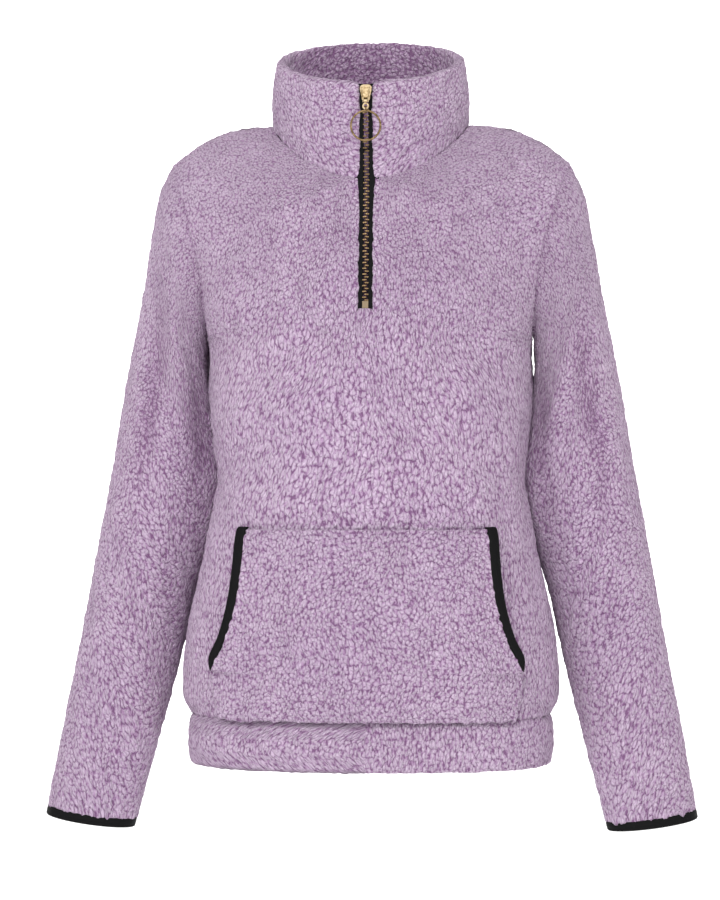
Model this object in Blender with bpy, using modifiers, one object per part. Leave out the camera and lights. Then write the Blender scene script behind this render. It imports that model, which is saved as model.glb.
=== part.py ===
"""A plush half-zip pullover, filled out and empty, as solid pieces.

Metres, +Z up. X runs across the body and -Y is the front. The origin lies midway between the two
points where the neck seam meets the shoulder seams, at the height where shoulders carry the weight.

Each cloth piece is a wall lofted between an outer grid of points and an inner one, because two
panels that meet at a seam share one seam direction, which a wall thickened by itself wouldn't.
"""
import math
from collections import namedtuple

import bmesh
import bpy
import numpy as np
from mathutils import Matrix, Vector

NAME = "plush_half_zip_pullover"

# Cloth, in metres. Plush thickness counts the pile.
GAP = 0.0003
ARMHOLE_GAP = 0.0006
PLUSH = 0.005
COLLAR_THICK = 0.0125
BAND_THICK = 0.010
BINDING_THICK = 0.0032
BINDING_INSET = 0.0010

# Body sections from the hem seam up past the armpit, and how square they are: 2 is an ellipse.
Section = namedtuple("Section", "height half_width front back")
BODY = (
    Section(-0.587, 0.1805, 0.1040, 0.1080),
    Section(-0.572, 0.1878, 0.1100, 0.1140),
    Section(-0.552, 0.1887, 0.1130, 0.1170),
    Section(-0.519, 0.1865, 0.1130, 0.1150),
    Section(-0.458, 0.1745, 0.1090, 0.1060),
    Section(-0.400, 0.1610, 0.1050, 0.0965),
    Section(-0.353, 0.1512, 0.1025, 0.0900),
    Section(-0.316, 0.1556, 0.1045, 0.0920),
    Section(-0.277, 0.1596, 0.1080, 0.0960),
    Section(-0.222, 0.1620, 0.1105, 0.1010),
    Section(-0.190, 0.1620, 0.1095, 0.1040),
)
SQUARENESS = 2.3

# The centre front and centre back above the armpit.
Middle = namedtuple("Middle", "height depth")
CENTRE_FRONT = (
    Middle(-0.277, 0.1080),
    Middle(-0.222, 0.1105),
    Middle(-0.190, 0.1095),
    Middle(-0.150, 0.1040),
    Middle(-0.100, 0.0950),
    Middle(-0.061, 0.0865),
)
CENTRE_BACK = (
    Middle(-0.277, 0.0960),
    Middle(-0.222, 0.1010),
    Middle(-0.190, 0.1040),
    Middle(-0.160, 0.1055),
    Middle(-0.120, 0.1035),
    Middle(-0.070, 0.0915),
    Middle(-0.016, 0.0620),
)

# Neck seam: its half width at the shoulders, and how far each half reaches and drops.
NECK_HALF_WIDTH = 0.0985
Neckline = namedtuple("Neckline", "depth drop power")
NECK_FRONT = Neckline(0.0865, 0.061, 1.6)
NECK_BACK = Neckline(0.0620, 0.016, 1.5)

# Armhole seam, from the armpit to the shoulder tip.
ARMPIT = np.array([0.1620, 0.0, -0.222])
SHOULDER_TIP = np.array([0.1990, 0.003, -0.038])
ARMHOLE_HALF_DEPTH = 0.058
ARMHOLE_HOLLOW_FRONT = 0.0095
ARMHOLE_HOLLOW_BACK = 0.004
SHOULDER_RISE = 0.0120
# A row of the body ends square to the side seam low down and at this angle at the shoulder seam.
ROW_TURN_LOW = 90
ROW_TURN_TOP = 38
CHEST_SWELL = 0.006
BLADE_SWELL = 0.005

# Sleeve sections between its outer and inner outline, from the armhole to the cuff.
Sleeve = namedtuple("Sleeve", "along outer_x outer_z inner_x inner_z half_depth middle_y")
SLEEVE = (
    Sleeve(0.00, 0.1990, -0.0380, 0.1620, -0.2220, 0.0580, 0.0015),
    Sleeve(0.06, 0.2125, -0.0650, 0.1634, -0.2470, 0.0600, 0.0080),
    Sleeve(0.14, 0.2225, -0.1100, 0.1616, -0.2740, 0.0625, 0.0180),
    Sleeve(0.24, 0.2335, -0.1720, 0.1572, -0.3060, 0.0625, 0.0260),
    Sleeve(0.36, 0.2490, -0.2470, 0.1500, -0.3450, 0.0600, 0.0310),
    Sleeve(0.50, 0.2645, -0.3400, 0.1592, -0.4000, 0.0570, 0.0320),
    Sleeve(0.64, 0.2812, -0.4320, 0.1782, -0.4700, 0.0530, 0.0260),
    Sleeve(0.76, 0.2950, -0.5150, 0.1940, -0.5420, 0.0480, 0.0140),
    Sleeve(0.88, 0.3095, -0.5970, 0.2120, -0.6130, 0.0415, 0.0000),
    Sleeve(1.00, 0.3235, -0.6785, 0.2325, -0.6920, 0.0345, -0.0140),
)
# Soft troughs down the upper sleeve: where round it in degrees from the armpit by way of the
# front, where they start and end along it, how wide in degrees, and how deep.
Trough = namedtuple("Trough", "around start end width depth")
SLEEVE_TROUGHS = (
    Trough(48.0, 0.16, 0.50, 17.0, 0.0045),
    Trough(113.0, 0.18, 0.56, 15.0, 0.0035),
    Trough(245.0, 0.20, 0.60, 17.0, 0.0040),
    Trough(305.0, 0.14, 0.46, 17.0, 0.0045),
)
# Where along the sleeve the armhole's hollow has faded out.
HOLLOW_FADE = 0.14

# Cuff binding from the sleeve's end down: how far below it and how far in from the pile.
CUFF_BINDING_HEIGHT = 0.0098
Edge = namedtuple("Edge", "drop inset")
CUFF_BINDING = (
    Edge(GAP, BINDING_INSET + 0.0004),
    Edge(0.0012, BINDING_INSET),
    Edge(CUFF_BINDING_HEIGHT - 0.0014, BINDING_INSET),
    Edge(CUFF_BINDING_HEIGHT, BINDING_INSET + 0.0012),
    Edge(CUFF_BINDING_HEIGHT, BINDING_INSET + BINDING_THICK - 0.0010),
    Edge(GAP, BINDING_INSET + BINDING_THICK),
)

# Collar: its top edge, which tilts down to the front, and how far its outer side swells.
COLLAR_TOP_HALF_WIDTH = 0.0948
COLLAR_TOP_FRONT = 0.0985
COLLAR_TOP_BACK = 0.0710
COLLAR_TOP_HEIGHT = 0.0680
COLLAR_TOP_TILT = 0.36
COLLAR_SWELL = 0.0025
# Where its section has points, as shares of its height, and round its folded edge in degrees.
COLLAR_OUTER = (0.0, 0.22, 0.45, 0.68, 0.88, 1.0)
COLLAR_INNER = (1.0, 0.80, 0.55, 0.28, 0.0)
FOLD_TURNS = (40, 90, 140)

# Hem band.
BAND_BOTTOM = -0.6375
BAND_ROUND = BAND_THICK / 2
BAND_SIDE = BODY[0].height - BAND_BOTTOM - BAND_ROUND
# Its section: how far below the seam, and how far outside the seam's line.
BandPoint = namedtuple("BandPoint", "drop aside")
BAND_OUTER = (
    BandPoint(GAP, -0.0012),
    BandPoint(0.0060, 0.0010),
    BandPoint(0.0175, 0.0030),
    BandPoint(0.0325, 0.0030),
    BandPoint(BAND_SIDE, 0.0010),
)
BAND_INNER = (
    BandPoint(BAND_SIDE, -0.0090),
    BandPoint(0.0200, -0.0085),
    BandPoint(GAP, -0.0100),
)

# Pocket: half width of its plush and width of its binding, from its top seam down.
Pocket = namedtuple("Pocket", "height half_width binding")
POCKET = (
    Pocket(-0.5855, 0.1425, 0.0),
    Pocket(-0.5410, 0.1455, 0.0),
    Pocket(-0.5290, 0.1385, 0.0075),
    Pocket(-0.5070, 0.1275, 0.0084),
    Pocket(-0.4790, 0.1190, 0.0086),
    Pocket(-0.4440, 0.1140, 0.0090),
    Pocket(-0.4000, 0.1130, 0.0096),
)
POCKET_SEAT = 0.0008
POCKET_FULLNESS = 0.0062
POCKET_GAPE = 0.0125
BINDING_TIP = 0.0012
BINDING_LOW = 0.0008
BINDING_HIGH = 0.0006
BINDING_CORNER = 0.0008
POCKET_SIDE_SEAM_TOP = -0.541

# Zip.
SLIT_HALF_WIDTH = 0.0078
SLIT_FOOT = 0.0012
ZIP_BOTTOM = -0.1905
ZIP_DEPTH = 0.0030
CHAIN_HALF_WIDTH = 0.0029
CHAIN_THICK = 0.0026
TAPE_THICK = 0.0008
STOP_FOOT = 0.0016
STOP_HEIGHT = 0.0068

# Slider, in its own frame: heights from its middle, depths from the zip's path, front below 0.
SLIDER_HEIGHT = 0.0197
SLIDER_HALF = 0.0078
CHAIN_IN_SLIDER = 0.0016
SLIDER_CLEAR = 0.0018
PLATE_THICK = 0.0013
FACE = -SLIDER_CLEAR - PLATE_THICK
PIVOT = (FACE - 0.0019, -0.0080)
Corner = namedtuple("Corner", "half_width height")
SLIDER_OUTLINE = (
    Corner(0.0026, -SLIDER_HALF),
    Corner(0.0038, -0.0066),
    Corner(0.0042, -0.0033),
    Corner(0.0056, 0.0028),
    Corner(0.0056, 0.0056),
    Corner(0.0042, 0.0072),
    Corner(0.0024, SLIDER_HALF),
)
Block = namedtuple("Block", "name left right front back low high")
SLIDER_BLOCKS = (
    Block("back_plate", -0.0036, 0.0036, SLIDER_CLEAR, SLIDER_CLEAR + 0.0011, -0.0072, 0.0068),
    Block("post", -0.0017, 0.0017, -SLIDER_CLEAR - 0.0004, SLIDER_CLEAR + 0.0004, 0.0022, 0.0062),
    Block("left_ear", -0.0028, -0.0019, PIVOT[0] - 0.0012, FACE + 0.0004, -0.0092, -0.0045),
    Block("right_ear", 0.0019, 0.0028, PIVOT[0] - 0.0012, FACE + 0.0004, -0.0092, -0.0045),
)
CAP = Block("cap", -0.0027, 0.0027, FACE - 0.0026, FACE + 0.0004, -0.0057, 0.0060)
CAP_SLOPE = 0.0014
CAP_ROUND = 0.0006
PIN_RADIUS = 0.0005
PIN_LENGTH = 0.0047

# Pull: a barrel on the slider's pin, a neck, an eye, a loop in the eye and a ring in the loop.
LINK_THICK = 0.0010
LINK_NECK = 0.0012
BARREL_LENGTH = 0.0030
BARREL_RADIUS = 0.0016
BARREL_HOLE = 0.00085
EYE_DROP = 0.0051
EYE_RADIUS = 0.0032
EYE_HOLE = 0.0019
RIM_DROP = EYE_DROP + (EYE_RADIUS + EYE_HOLE) / 2
LOOP_DROP = RIM_DROP + 0.00115
LOOP_RADIUS = 0.00255
LOOP_WIRE = 0.00045
RING_RADIUS = 0.01425
RING_WIRE = 0.00095
RING_DROP = RIM_DROP + 0.0020 + RING_RADIUS

# How finely the cloth is divided.
COLUMNS = 10
BODY_ROWS = 12
ARM_ROWS = 14
NECK_ROWS_FRONT = 7
NECK_ROWS_BACK = 5
POCKET_LOW_ROWS = 4
POCKET_MOUTH_ROWS = 9
POCKET_COLUMNS = 8
SLEEVE_RINGS = 18
BODY_SPREAD = 1.25
RING_SPREAD = 1.12
DENSE = 160
ZIP_STEPS = 26
ZIP_EASING = 3
WIRE_SIDES = 8
MUCH_THE_SAME = 0.15

# Colours, roughness and metallic.
LILAC = ((0.51, 0.37, 0.55), 0.95, 0.0)
BLACK_TRIM = ((0.012, 0.012, 0.014), 0.75, 0.0)
BRASS = ((0.42, 0.29, 0.13), 0.35, 1.0)


def clear_scene():
    for item in list(bpy.data.objects):
        bpy.data.objects.remove(item, do_unlink=True)


def material(name, look):
    colour, roughness, metallic = look
    made = bpy.data.materials.new(name)
    made.use_nodes = True
    shader = made.node_tree.nodes["Principled BSDF"]
    shader.inputs["Base Color"].default_value = (*colour, 1.0)
    shader.inputs["Roughness"].default_value = roughness
    shader.inputs["Metallic"].default_value = metallic
    return made


def add_object(name, mesh, look):
    made = bpy.data.objects.new(name, mesh)
    bpy.data.collections[NAME].objects.link(made)
    mesh.materials.append(material(name, look))
    mesh.shade_smooth()
    mesh.set_sharp_from_angle(angle=math.radians(40))
    return made


def mirror_across(made):
    step = made.modifiers.new("Other half", "MIRROR")
    step.merge_threshold = 0.00002


def through_rows(rows, places):
    """Each column of a table as a smooth curve through its rows, read at the given places."""
    table = np.array(rows, float)
    table = table[np.argsort(table[:, 0])]
    xs, ys = table[:, 0], table[:, 1:]
    slopes = np.gradient(ys, xs, axis=0)
    places = np.atleast_1d(places)
    i = np.clip(np.searchsorted(xs, places) - 1, 0, len(xs) - 2)
    span = (xs[i + 1] - xs[i])[:, None]
    t = (places - xs[i])[:, None] / span
    return (
        (2 * t**3 - 3 * t**2 + 1) * ys[i]
        + (t**3 - 2 * t**2 + t) * span * slopes[i]
        + (3 * t**2 - 2 * t**3) * ys[i + 1]
        + (t**3 - t**2) * span * slopes[i + 1]
    )


def unit(vectors):
    return vectors / np.maximum(np.linalg.norm(vectors, axis=-1, keepdims=True), 1e-12)


def evenly(points, count):
    """count + 1 points at equal steps along a line of points."""
    steps = np.linalg.norm(np.diff(points, axis=0), axis=1)
    along = np.concatenate([[0.0], np.cumsum(steps)])
    at = np.linspace(0.0, along[-1], count + 1)
    return np.stack([np.interp(at, along, points[:, k]) for k in range(3)], axis=1)


def arc_row(inner, outer, turn, power):
    """A row of cloth that leaves the centre line square on and turns by the given angle."""
    phi = np.linspace(0.0, turn, DENSE)
    across = (np.sin(phi) / math.sin(turn)) ** power
    depth = ((np.cos(phi) - math.cos(turn)) / (1 - math.cos(turn))).clip(0.0) ** power
    x = inner[0] + (outer[0] - inner[0]) * across
    y = outer[1] + (inner[1] - outer[1]) * depth
    z = inner[2] + (outer[2] - inner[2]) * across
    return np.stack([x, y, z], axis=1)


def neck_point(angle, half, side):
    """A point of the neck seam: side is -1 in front and 1 behind, angle 0 is the centre."""
    x = NECK_HALF_WIDTH * math.sin(angle)
    y = side * half.depth * math.cos(angle)
    z = -half.drop * max(math.cos(angle), 0.0) ** half.power
    return np.array([x, y, z])


def neck_angles(side):
    if side < 0:
        return np.linspace(math.asin(SLIT_HALF_WIDTH / NECK_HALF_WIDTH), math.pi / 2, NECK_ROWS_FRONT + 1)
    return np.linspace(0.0, math.pi / 2, NECK_ROWS_BACK + 1)


def armhole_point(angle, side):
    """A point of the armhole seam, from the armpit at 0 to the shoulder tip at pi."""
    centre, reach = (ARMPIT + SHOULDER_TIP) / 2, (SHOULDER_TIP - ARMPIT) / 2
    hollow = ARMHOLE_HOLLOW_FRONT if side < 0 else ARMHOLE_HOLLOW_BACK
    point = centre - reach * math.cos(angle)
    point[0] -= hollow * math.sin(angle) ** 2
    point[1] += side * ARMHOLE_HALF_DEPTH * math.sin(angle)
    return point


def body_row(height, side):
    width, front, back = through_rows(BODY, height)[0]
    depth = front if side < 0 else back
    inner = np.array([0.0, side * depth, height])
    outer = np.array([width, 0.0, height])
    return arc_row(inner, outer, math.pi / 2, 2 / SQUARENESS)


def inner_ends(side):
    """Where each row above the armpit starts: up the centre line and then round the neck."""
    if side < 0:
        neck = [neck_point(a, NECK_FRONT, side) for a in neck_angles(side)]
        slit = np.linspace(ZIP_BOTTOM, neck[0][2], ARM_ROWS - NECK_ROWS_FRONT - 1)[:-1]
        ends = [(0.0, ZIP_BOTTOM - SLIT_FOOT)] + [(SLIT_HALF_WIDTH, z) for z in slit]
        table = CENTRE_FRONT
    else:
        neck = [neck_point(a, NECK_BACK, side) for a in neck_angles(side)]
        rows = ARM_ROWS - NECK_ROWS_BACK
        ends = [(0.0, z) for z in np.linspace(ARMPIT[2], neck[0][2], rows + 1)[1:-1]]
        table = CENTRE_BACK
    depths = through_rows(table, [z for _, z in ends])[:, 0]
    return [np.array([x, side * depth, z]) for (x, z), depth in zip(ends, depths)] + neck


def upper_row(inner, step, side):
    share = step / ARM_ROWS
    eased = share * share * (3 - 2 * share)
    outer = armhole_point(math.pi * share, side)
    turn = math.radians(ROW_TURN_LOW + (ROW_TURN_TOP - ROW_TURN_LOW) * eased)
    power = 2 / SQUARENESS + (1 - 2 / SQUARENESS) * eased
    row = arc_row(inner, outer, turn, power)
    hump = np.sin(np.linspace(0.0, math.pi, DENSE))
    swell = CHEST_SWELL if side < 0 else BLADE_SWELL
    row[:, 1] += side * swell * hump * math.sin(math.pi * share) ** 2
    row[:, 2] += SHOULDER_RISE * hump * share**4
    return row


def body_heights():
    steps = np.linspace(0.0, 1.0, BODY_ROWS + 1) ** BODY_SPREAD
    low = BODY[0].height
    return low + (ARMPIT[2] - low) * steps


def panel_grid(side):
    """The outer points of half a body panel, rows from the hem up, from the centre outwards."""
    rows = [body_row(height, side) for height in body_heights()]
    rows += [upper_row(inner, i + 1, side) for i, inner in enumerate(inner_ends(side))]
    return np.array([evenly(row, COLUMNS) for row in rows])


def sleeve_trough(along, degrees):
    """How far the cloth is drawn in at a place on the sleeve."""
    drawn = 0.0
    for fold in SLEEVE_TROUGHS:
        if fold.start < along < fold.end:
            length = math.sin(math.pi * (along - fold.start) / (fold.end - fold.start))
            off = (degrees - fold.around) / fold.width
            drawn += fold.depth * length * math.exp(-off * off)
    return drawn


def sleeve_ring(place, fade):
    """One ring of the sleeve, from the armpit round by the front; fade is 1 at the armhole."""
    outer_x, outer_z, inner_x, inner_z, half_depth, middle_y = through_rows(SLEEVE, place)[0]
    ring = []
    for k in range(2 * ARM_ROWS):
        angle = math.pi * k / ARM_ROWS
        side = -1 if k <= ARM_ROWS else 1
        lift = (1 - math.cos(angle)) / 2
        draw = 1 - sleeve_trough(place, math.degrees(angle)) / half_depth
        middle = np.array([(outer_x + inner_x) / 2, middle_y, (outer_z + inner_z) / 2])
        point = np.array([
            inner_x + (outer_x - inner_x) * lift,
            middle_y - half_depth * math.sin(angle),
            inner_z + (outer_z - inner_z) * lift,
        ])
        point = middle + (point - middle) * draw
        hollow = ARMHOLE_HOLLOW_FRONT if side < 0 else ARMHOLE_HOLLOW_BACK
        point[0] -= fade * hollow * math.sin(angle) ** 2
        ring.append(point)
    return np.array(ring)


def sleeve_grid():
    """The sleeve's outer points, one ring after another; the first ring is the armhole seam."""
    seam = [armhole_point(math.pi * k / ARM_ROWS, -1) for k in range(ARM_ROWS + 1)]
    seam += [armhole_point(math.pi * k / ARM_ROWS, 1) for k in range(ARM_ROWS - 1, 0, -1)]
    rings = [np.array(seam)]
    for step in range(1, SLEEVE_RINGS + 1):
        place = (step / SLEEVE_RINGS) ** RING_SPREAD
        rings.append(sleeve_ring(place, max(0.0, 1 - place / HOLLOW_FADE)))
    return np.array(rings)


def outward(points, closed, away_from):
    """Unit normals of a grid of points, pointing away from the given points."""
    if closed:
        across = np.roll(points, -1, axis=1) - np.roll(points, 1, axis=1)
    else:
        across = np.gradient(points, axis=1)
    normals = unit(np.cross(across, np.gradient(points, axis=0)))
    signs = np.sign((normals * (points - away_from)).sum(axis=-1).mean())
    return normals * signs


def share_seams(grids, normals):
    """Where two grids meet in one point and face much the same way, both get the mean normal."""
    meeting = {}
    for name, points in grids.items():
        for index in np.ndindex(points.shape[:2]):
            meeting.setdefault(tuple(np.round(points[index], 5)), []).append((name, index))
    for places in meeting.values():
        found = np.array([normals[name][index] for name, index in places])
        alike = found @ found.T > MUCH_THE_SAME
        for (name, index), near in zip(places, alike):
            normals[name][index] = unit(found[near].mean(axis=0))


def pull_back(points, amount):
    """Moves the first and last rows of a grid back from the seams that they lie on."""
    for edge, near in ((0, 1), (-1, -2)):
        points[edge] += unit(points[near] - points[edge]) * amount[edge]


def finish_mesh(name, build):
    """The mesh with its faces outwards: what a mirror closes lies at x = 0 and adds no volume."""
    build.normal_update()
    volume = sum(f.calc_center_median().x * f.normal.x * f.calc_area() for f in build.faces)
    if volume < 0:
        bmesh.ops.reverse_faces(build, faces=build.faces)
    mesh = bpy.data.meshes.new(name)
    build.to_mesh(mesh)
    build.free()
    return mesh


def wall(name, outer, inner, look, closed=False):
    """A closed wall between two grids of points, apart from an edge on the mirror at x = 0."""
    rows, cols = outer.shape[:2]
    build = bmesh.new()
    skins = []
    for grid in (outer, inner):
        skins.append([[build.verts.new(p) for p in row] for row in grid])
    out, into = skins
    last = cols if closed else cols - 1

    add = build.faces.new
    for i in range(rows - 1):
        for j in range(last):
            k = (j + 1) % cols
            add((out[i][j], out[i][k], out[i + 1][k], out[i + 1][j]))
            add((into[i][j], into[i + 1][j], into[i + 1][k], into[i][k]))
    for j in range(last):
        k = (j + 1) % cols
        add((out[0][k], out[0][j], into[0][j], into[0][k]))
        add((out[-1][j], out[-1][k], into[-1][k], into[-1][j]))
    if not closed:
        for i in range(rows - 1):
            if max(outer[i][0][0], outer[i + 1][0][0]) > 0:
                add((out[i][0], out[i + 1][0], into[i + 1][0], into[i][0]))
            add((out[i + 1][-1], out[i][-1], into[i][-1], into[i + 1][-1]))
    return add_object(name, finish_mesh(name, build), look)


def swept(name, sections, look, closed=False, capped=()):
    """A solid that runs through closed sections: an end that isn't capped lies on the mirror."""
    build = bmesh.new()
    rings = [[build.verts.new(p) for p in section] for section in sections]
    count = len(rings[0])
    pairs = list(zip(rings, rings[1:] + rings[:1]))
    for ring, following in pairs if closed else pairs[:-1]:
        for i in range(count):
            k = (i + 1) % count
            build.faces.new((ring[i], ring[k], following[k], following[i]))
    if "first" in capped:
        build.faces.new(rings[0][::-1])
    if "last" in capped:
        build.faces.new(rings[-1])
    return add_object(name, finish_mesh(name, build), look)


def copy_across(made, name):
    """The other of a pair, on the other side of the body."""
    mesh = made.data.copy()
    mesh.name = name
    for vertex in mesh.vertices:
        vertex.co.x = -vertex.co.x
    mesh.flip_normals()
    mesh.materials.clear()
    other = bpy.data.objects.new(name, mesh)
    bpy.data.collections[NAME].objects.link(other)
    mesh.materials.append(made.data.materials[0].copy())
    mesh.materials[0].name = name
    return other


def make_body_and_sleeves():
    """The two body panels and the sleeves, whose seams with one another stay a hair apart."""
    grids = {"front": panel_grid(-1), "back": panel_grid(1), "sleeve": sleeve_grid()}
    normals = {"sleeve": outward(grids["sleeve"], True, grids["sleeve"].mean(axis=1, keepdims=True))}
    for name in ("front", "back"):
        normals[name] = outward(grids[name], False, grids[name] * [0.0, 0.0, 1.0])
    share_seams(grids, normals)
    half = GAP / 2
    for name in ("front", "back"):
        normals[name][:, 0, 0] *= grids[name][:, 0, 0] > 0
        normals[name] = unit(normals[name])
        pull_back(grids[name], {0: 0.0, -1: half})
        pull_back(grids[name].transpose(1, 0, 2), {0: 0.0, -1: half})
    pull_back(grids["sleeve"], {0: ARMHOLE_GAP - half, -1: 0.0})
    for name in ("front", "back"):
        inner = grids[name] - normals[name] * PLUSH
        made = wall(name, grids[name], inner, LILAC)
        mirror_across(made)
    inner = grids["sleeve"] - normals["sleeve"] * PLUSH
    copy_across(wall("sleeve_right", grids["sleeve"], inner, LILAC, True), "sleeve_left")
    return grids, normals


def make_cuff_bindings(grids, normals):
    """A flat tape that closes the sleeve's end and stands a little inside the pile."""
    end, before = grids["sleeve"][-1], grids["sleeve"][-2]
    down = unit((end - before).mean(axis=0))
    out = normals["sleeve"][-1]
    out = unit(out - (out @ down)[:, None] * down)
    loops = [end + down * edge.drop - out * edge.inset for edge in CUFF_BINDING]
    right = swept("cuff_binding_right", loops, BLACK_TRIM, closed=True)
    copy_across(right, "cuff_binding_left")


def collar_stations():
    """Neck seam points and directions from the zip round to the centre back."""
    front = [(neck_point(a, NECK_FRONT, -1), a, -1) for a in neck_angles(-1)]
    back = [(neck_point(a, NECK_BACK, 1), a, 1) for a in neck_angles(1)[::-1]]
    return front + back[1:]


def collar_section(low, angle, side):
    """The collar's closed section at one place on the neck seam."""
    at_zip = low[0] <= SLIT_HALF_WIDTH + 1e-6 and side < 0
    depth = COLLAR_TOP_FRONT if side < 0 else COLLAR_TOP_BACK
    x = SLIT_HALF_WIDTH if at_zip else COLLAR_TOP_HALF_WIDTH * math.sin(angle)
    y = side * depth * math.cos(angle)
    top = np.array([x, y, COLLAR_TOP_HEIGHT + COLLAR_TOP_TILT * y])
    low = low + np.array([0.0, 0.0, GAP])
    sideways = 0.0 if at_zip else math.sin(angle) / COLLAR_TOP_HALF_WIDTH
    out = unit(np.array([sideways, side * math.cos(angle) / depth, 0.0]))
    rise = top - low
    radius = COLLAR_THICK / 2
    rise_to_fold = rise * (1 - radius / np.linalg.norm(rise))
    section = []
    for share in COLLAR_OUTER:
        swell = COLLAR_SWELL * math.sin(math.pi * share)
        section.append(low + rise_to_fold * share + out * swell)
    fold = low + rise_to_fold - out * radius
    for turn in np.radians(FOLD_TURNS):
        section.append(fold + out * radius * math.cos(turn) + unit(rise) * radius * math.sin(turn))
    for share in COLLAR_INNER:
        section.append(low + rise_to_fold * share - out * COLLAR_THICK)
    return np.array(section)


def make_collar():
    sections = [collar_section(*station) for station in collar_stations()]
    made = swept("collar", sections, LILAC, capped=("first",))
    mirror_across(made)
    return sections


def make_hem_band(grids):
    """The double band below the hem seam, rounded at its folded edge."""
    seam = np.concatenate([grids["front"][0], grids["back"][0][::-1][1:]])
    along = np.gradient(seam, axis=0)
    out = unit(np.stack([-along[:, 1], along[:, 0], np.zeros(len(seam))], axis=1))
    out *= np.sign((out * seam).sum(axis=1))[:, None]
    out[0], out[-1] = (0.0, -1.0, 0.0), (0.0, 1.0, 0.0)
    middle = (BAND_OUTER[-1].aside + BAND_INNER[0].aside) / 2
    profile = list(BAND_OUTER)
    for turn in np.radians(FOLD_TURNS):
        drop = BAND_SIDE + BAND_ROUND * math.sin(turn)
        profile.append(BandPoint(drop, middle + BAND_ROUND * math.cos(turn)))
    profile += BAND_INNER
    sections = []
    for point, facing in zip(seam, out):
        sections.append([point + facing * p.aside - np.array([0.0, 0.0, p.drop]) for p in profile])
    sections = np.array(sections)
    sections[[0, -1], :, 0] = 0.0
    made = swept("hem_band", sections, LILAC)
    mirror_across(made)


def front_surface(x, height):
    """The front panel's outer surface below the armpit, and its normal."""

    def place(across, level):
        width, front, _ = through_rows(BODY, level)[0]
        share = max(0.0, 1 - (abs(across) / width) ** SQUARENESS)
        return np.array([across, -front * share ** (1 / SQUARENESS), level])

    step = 0.001
    here = place(x, height)
    normal = np.cross(place(x + step, height) - place(x - step, height),
                      place(x, height + step) - place(x, height - step))
    return here, unit(normal)


def pocket_lift(x, height):
    """How far the pocket's inner side stands off the front panel: most at its open sides."""
    half_width = through_rows(POCKET, height)[0][0]
    top, low = POCKET[-1].height, POCKET[0].height
    up = min(max((height - low) / (top - low), 0.0), 1.0)
    side = min(1.0, abs(x) / half_width)
    loose = POCKET_FULLNESS * math.sqrt(math.sin(math.pi * up))
    if height > POCKET_SIDE_SEAM_TOP:
        mouth = (height - POCKET_SIDE_SEAM_TOP) / (top - POCKET_SIDE_SEAM_TOP)
        gape = math.sqrt(max(math.sin(math.pi * mouth), 0.0))
        loose += (POCKET_GAPE - POCKET_FULLNESS) * gape * side**3
    else:
        loose *= 1 - side**4
    return POCKET_SEAT + max(0.0, loose)


def pocket_point(x, height, lift):
    here, normal = front_surface(x, height)
    return here + normal * lift


def pocket_heights():
    low = np.linspace(POCKET[0].height, POCKET_SIDE_SEAM_TOP, POCKET_LOW_ROWS + 1)
    high = np.linspace(POCKET_SIDE_SEAM_TOP, POCKET[-1].height, POCKET_MOUTH_ROWS + 1)
    return np.concatenate([low, high[1:]])


def make_pocket():
    outer, inner = [], []
    for height in pocket_heights():
        half_width = through_rows(POCKET, height)[0][0]
        places = np.linspace(0.0, 1.0, POCKET_COLUMNS) * half_width
        outer.append([pocket_point(x, height, pocket_lift(x, height) + PLUSH) for x in places])
        inner.append([pocket_point(x, height, pocket_lift(x, height)) for x in places])
    outer, inner = np.array(outer), np.array(inner)
    outer[:, 0, 0] = 0.0
    inner[:, 0, 0] = 0.0
    made = wall("pocket", outer, inner, LILAC)
    mirror_across(made)


def make_pocket_bindings():
    """The tape round each curved edge, in line with the pocket's cloth and a little thinner."""
    sections = []
    for height in pocket_heights()[POCKET_LOW_ROWS:]:
        half_width, width = through_rows(POCKET, height)[0]
        edge, end = half_width + GAP, half_width + max(width, BINDING_TIP)
        lift = pocket_lift(half_width, height)
        near, far = lift + BINDING_LOW, lift + PLUSH - BINDING_HIGH
        sections.append([
            pocket_point(edge, height, near),
            pocket_point(edge, height, far),
            pocket_point(end - BINDING_CORNER, height, far),
            pocket_point(end, height, (near + far) / 2),
            pocket_point(end - BINDING_CORNER, height, near),
        ])
    right = swept("pocket_binding_right", sections, BLACK_TRIM, capped=("first", "last"))
    copy_across(right, "pocket_binding_left")


def zip_line(collar_sections):
    """The zip's path up the centre front: points and the direction out of the cloth."""
    heights = np.linspace(ZIP_BOTTOM, -NECK_FRONT.drop, 9)[:-1]
    depths = through_rows(CENTRE_FRONT, heights)[:, 0]
    line = [np.array([0.0, -d, z]) for d, z in zip(depths, heights)]
    line += [p * [0.0, 1.0, 1.0] for p in collar_sections[0][:len(COLLAR_OUTER)]]
    line = evenly(np.array(line), ZIP_STEPS)
    for _ in range(ZIP_EASING):
        line[1:-1] = (line[:-2] + 2 * line[1:-1] + line[2:]) / 4
    along = unit(np.gradient(line, axis=0))
    out = np.cross([1.0, 0.0, 0.0], along)
    return line - out * ZIP_DEPTH, out


def strip(name, path, left, right, thick, look):
    """A flat strip along the zip, between two places across it."""
    sections = []
    for point, facing in zip(*path):
        corners = ((left, -1), (right, -1), (right, 1), (left, 1))
        sections.append([point + facing * side * thick / 2 + [x, 0.0, 0.0] for x, side in corners])
    return swept(name, sections, look, capped=("first", "last"))


def cut_line(line, out, low, high):
    """The stretch of the zip's path between two heights."""
    heights = np.concatenate([[low], line[(line[:, 2] > low) & (line[:, 2] < high), 2], [high]])
    parts = []
    for values in (line, out):
        parts.append(np.stack([np.interp(heights, line[:, 2], values[:, k]) for k in range(3)], axis=1))
    return parts[0], unit(parts[1])


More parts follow.
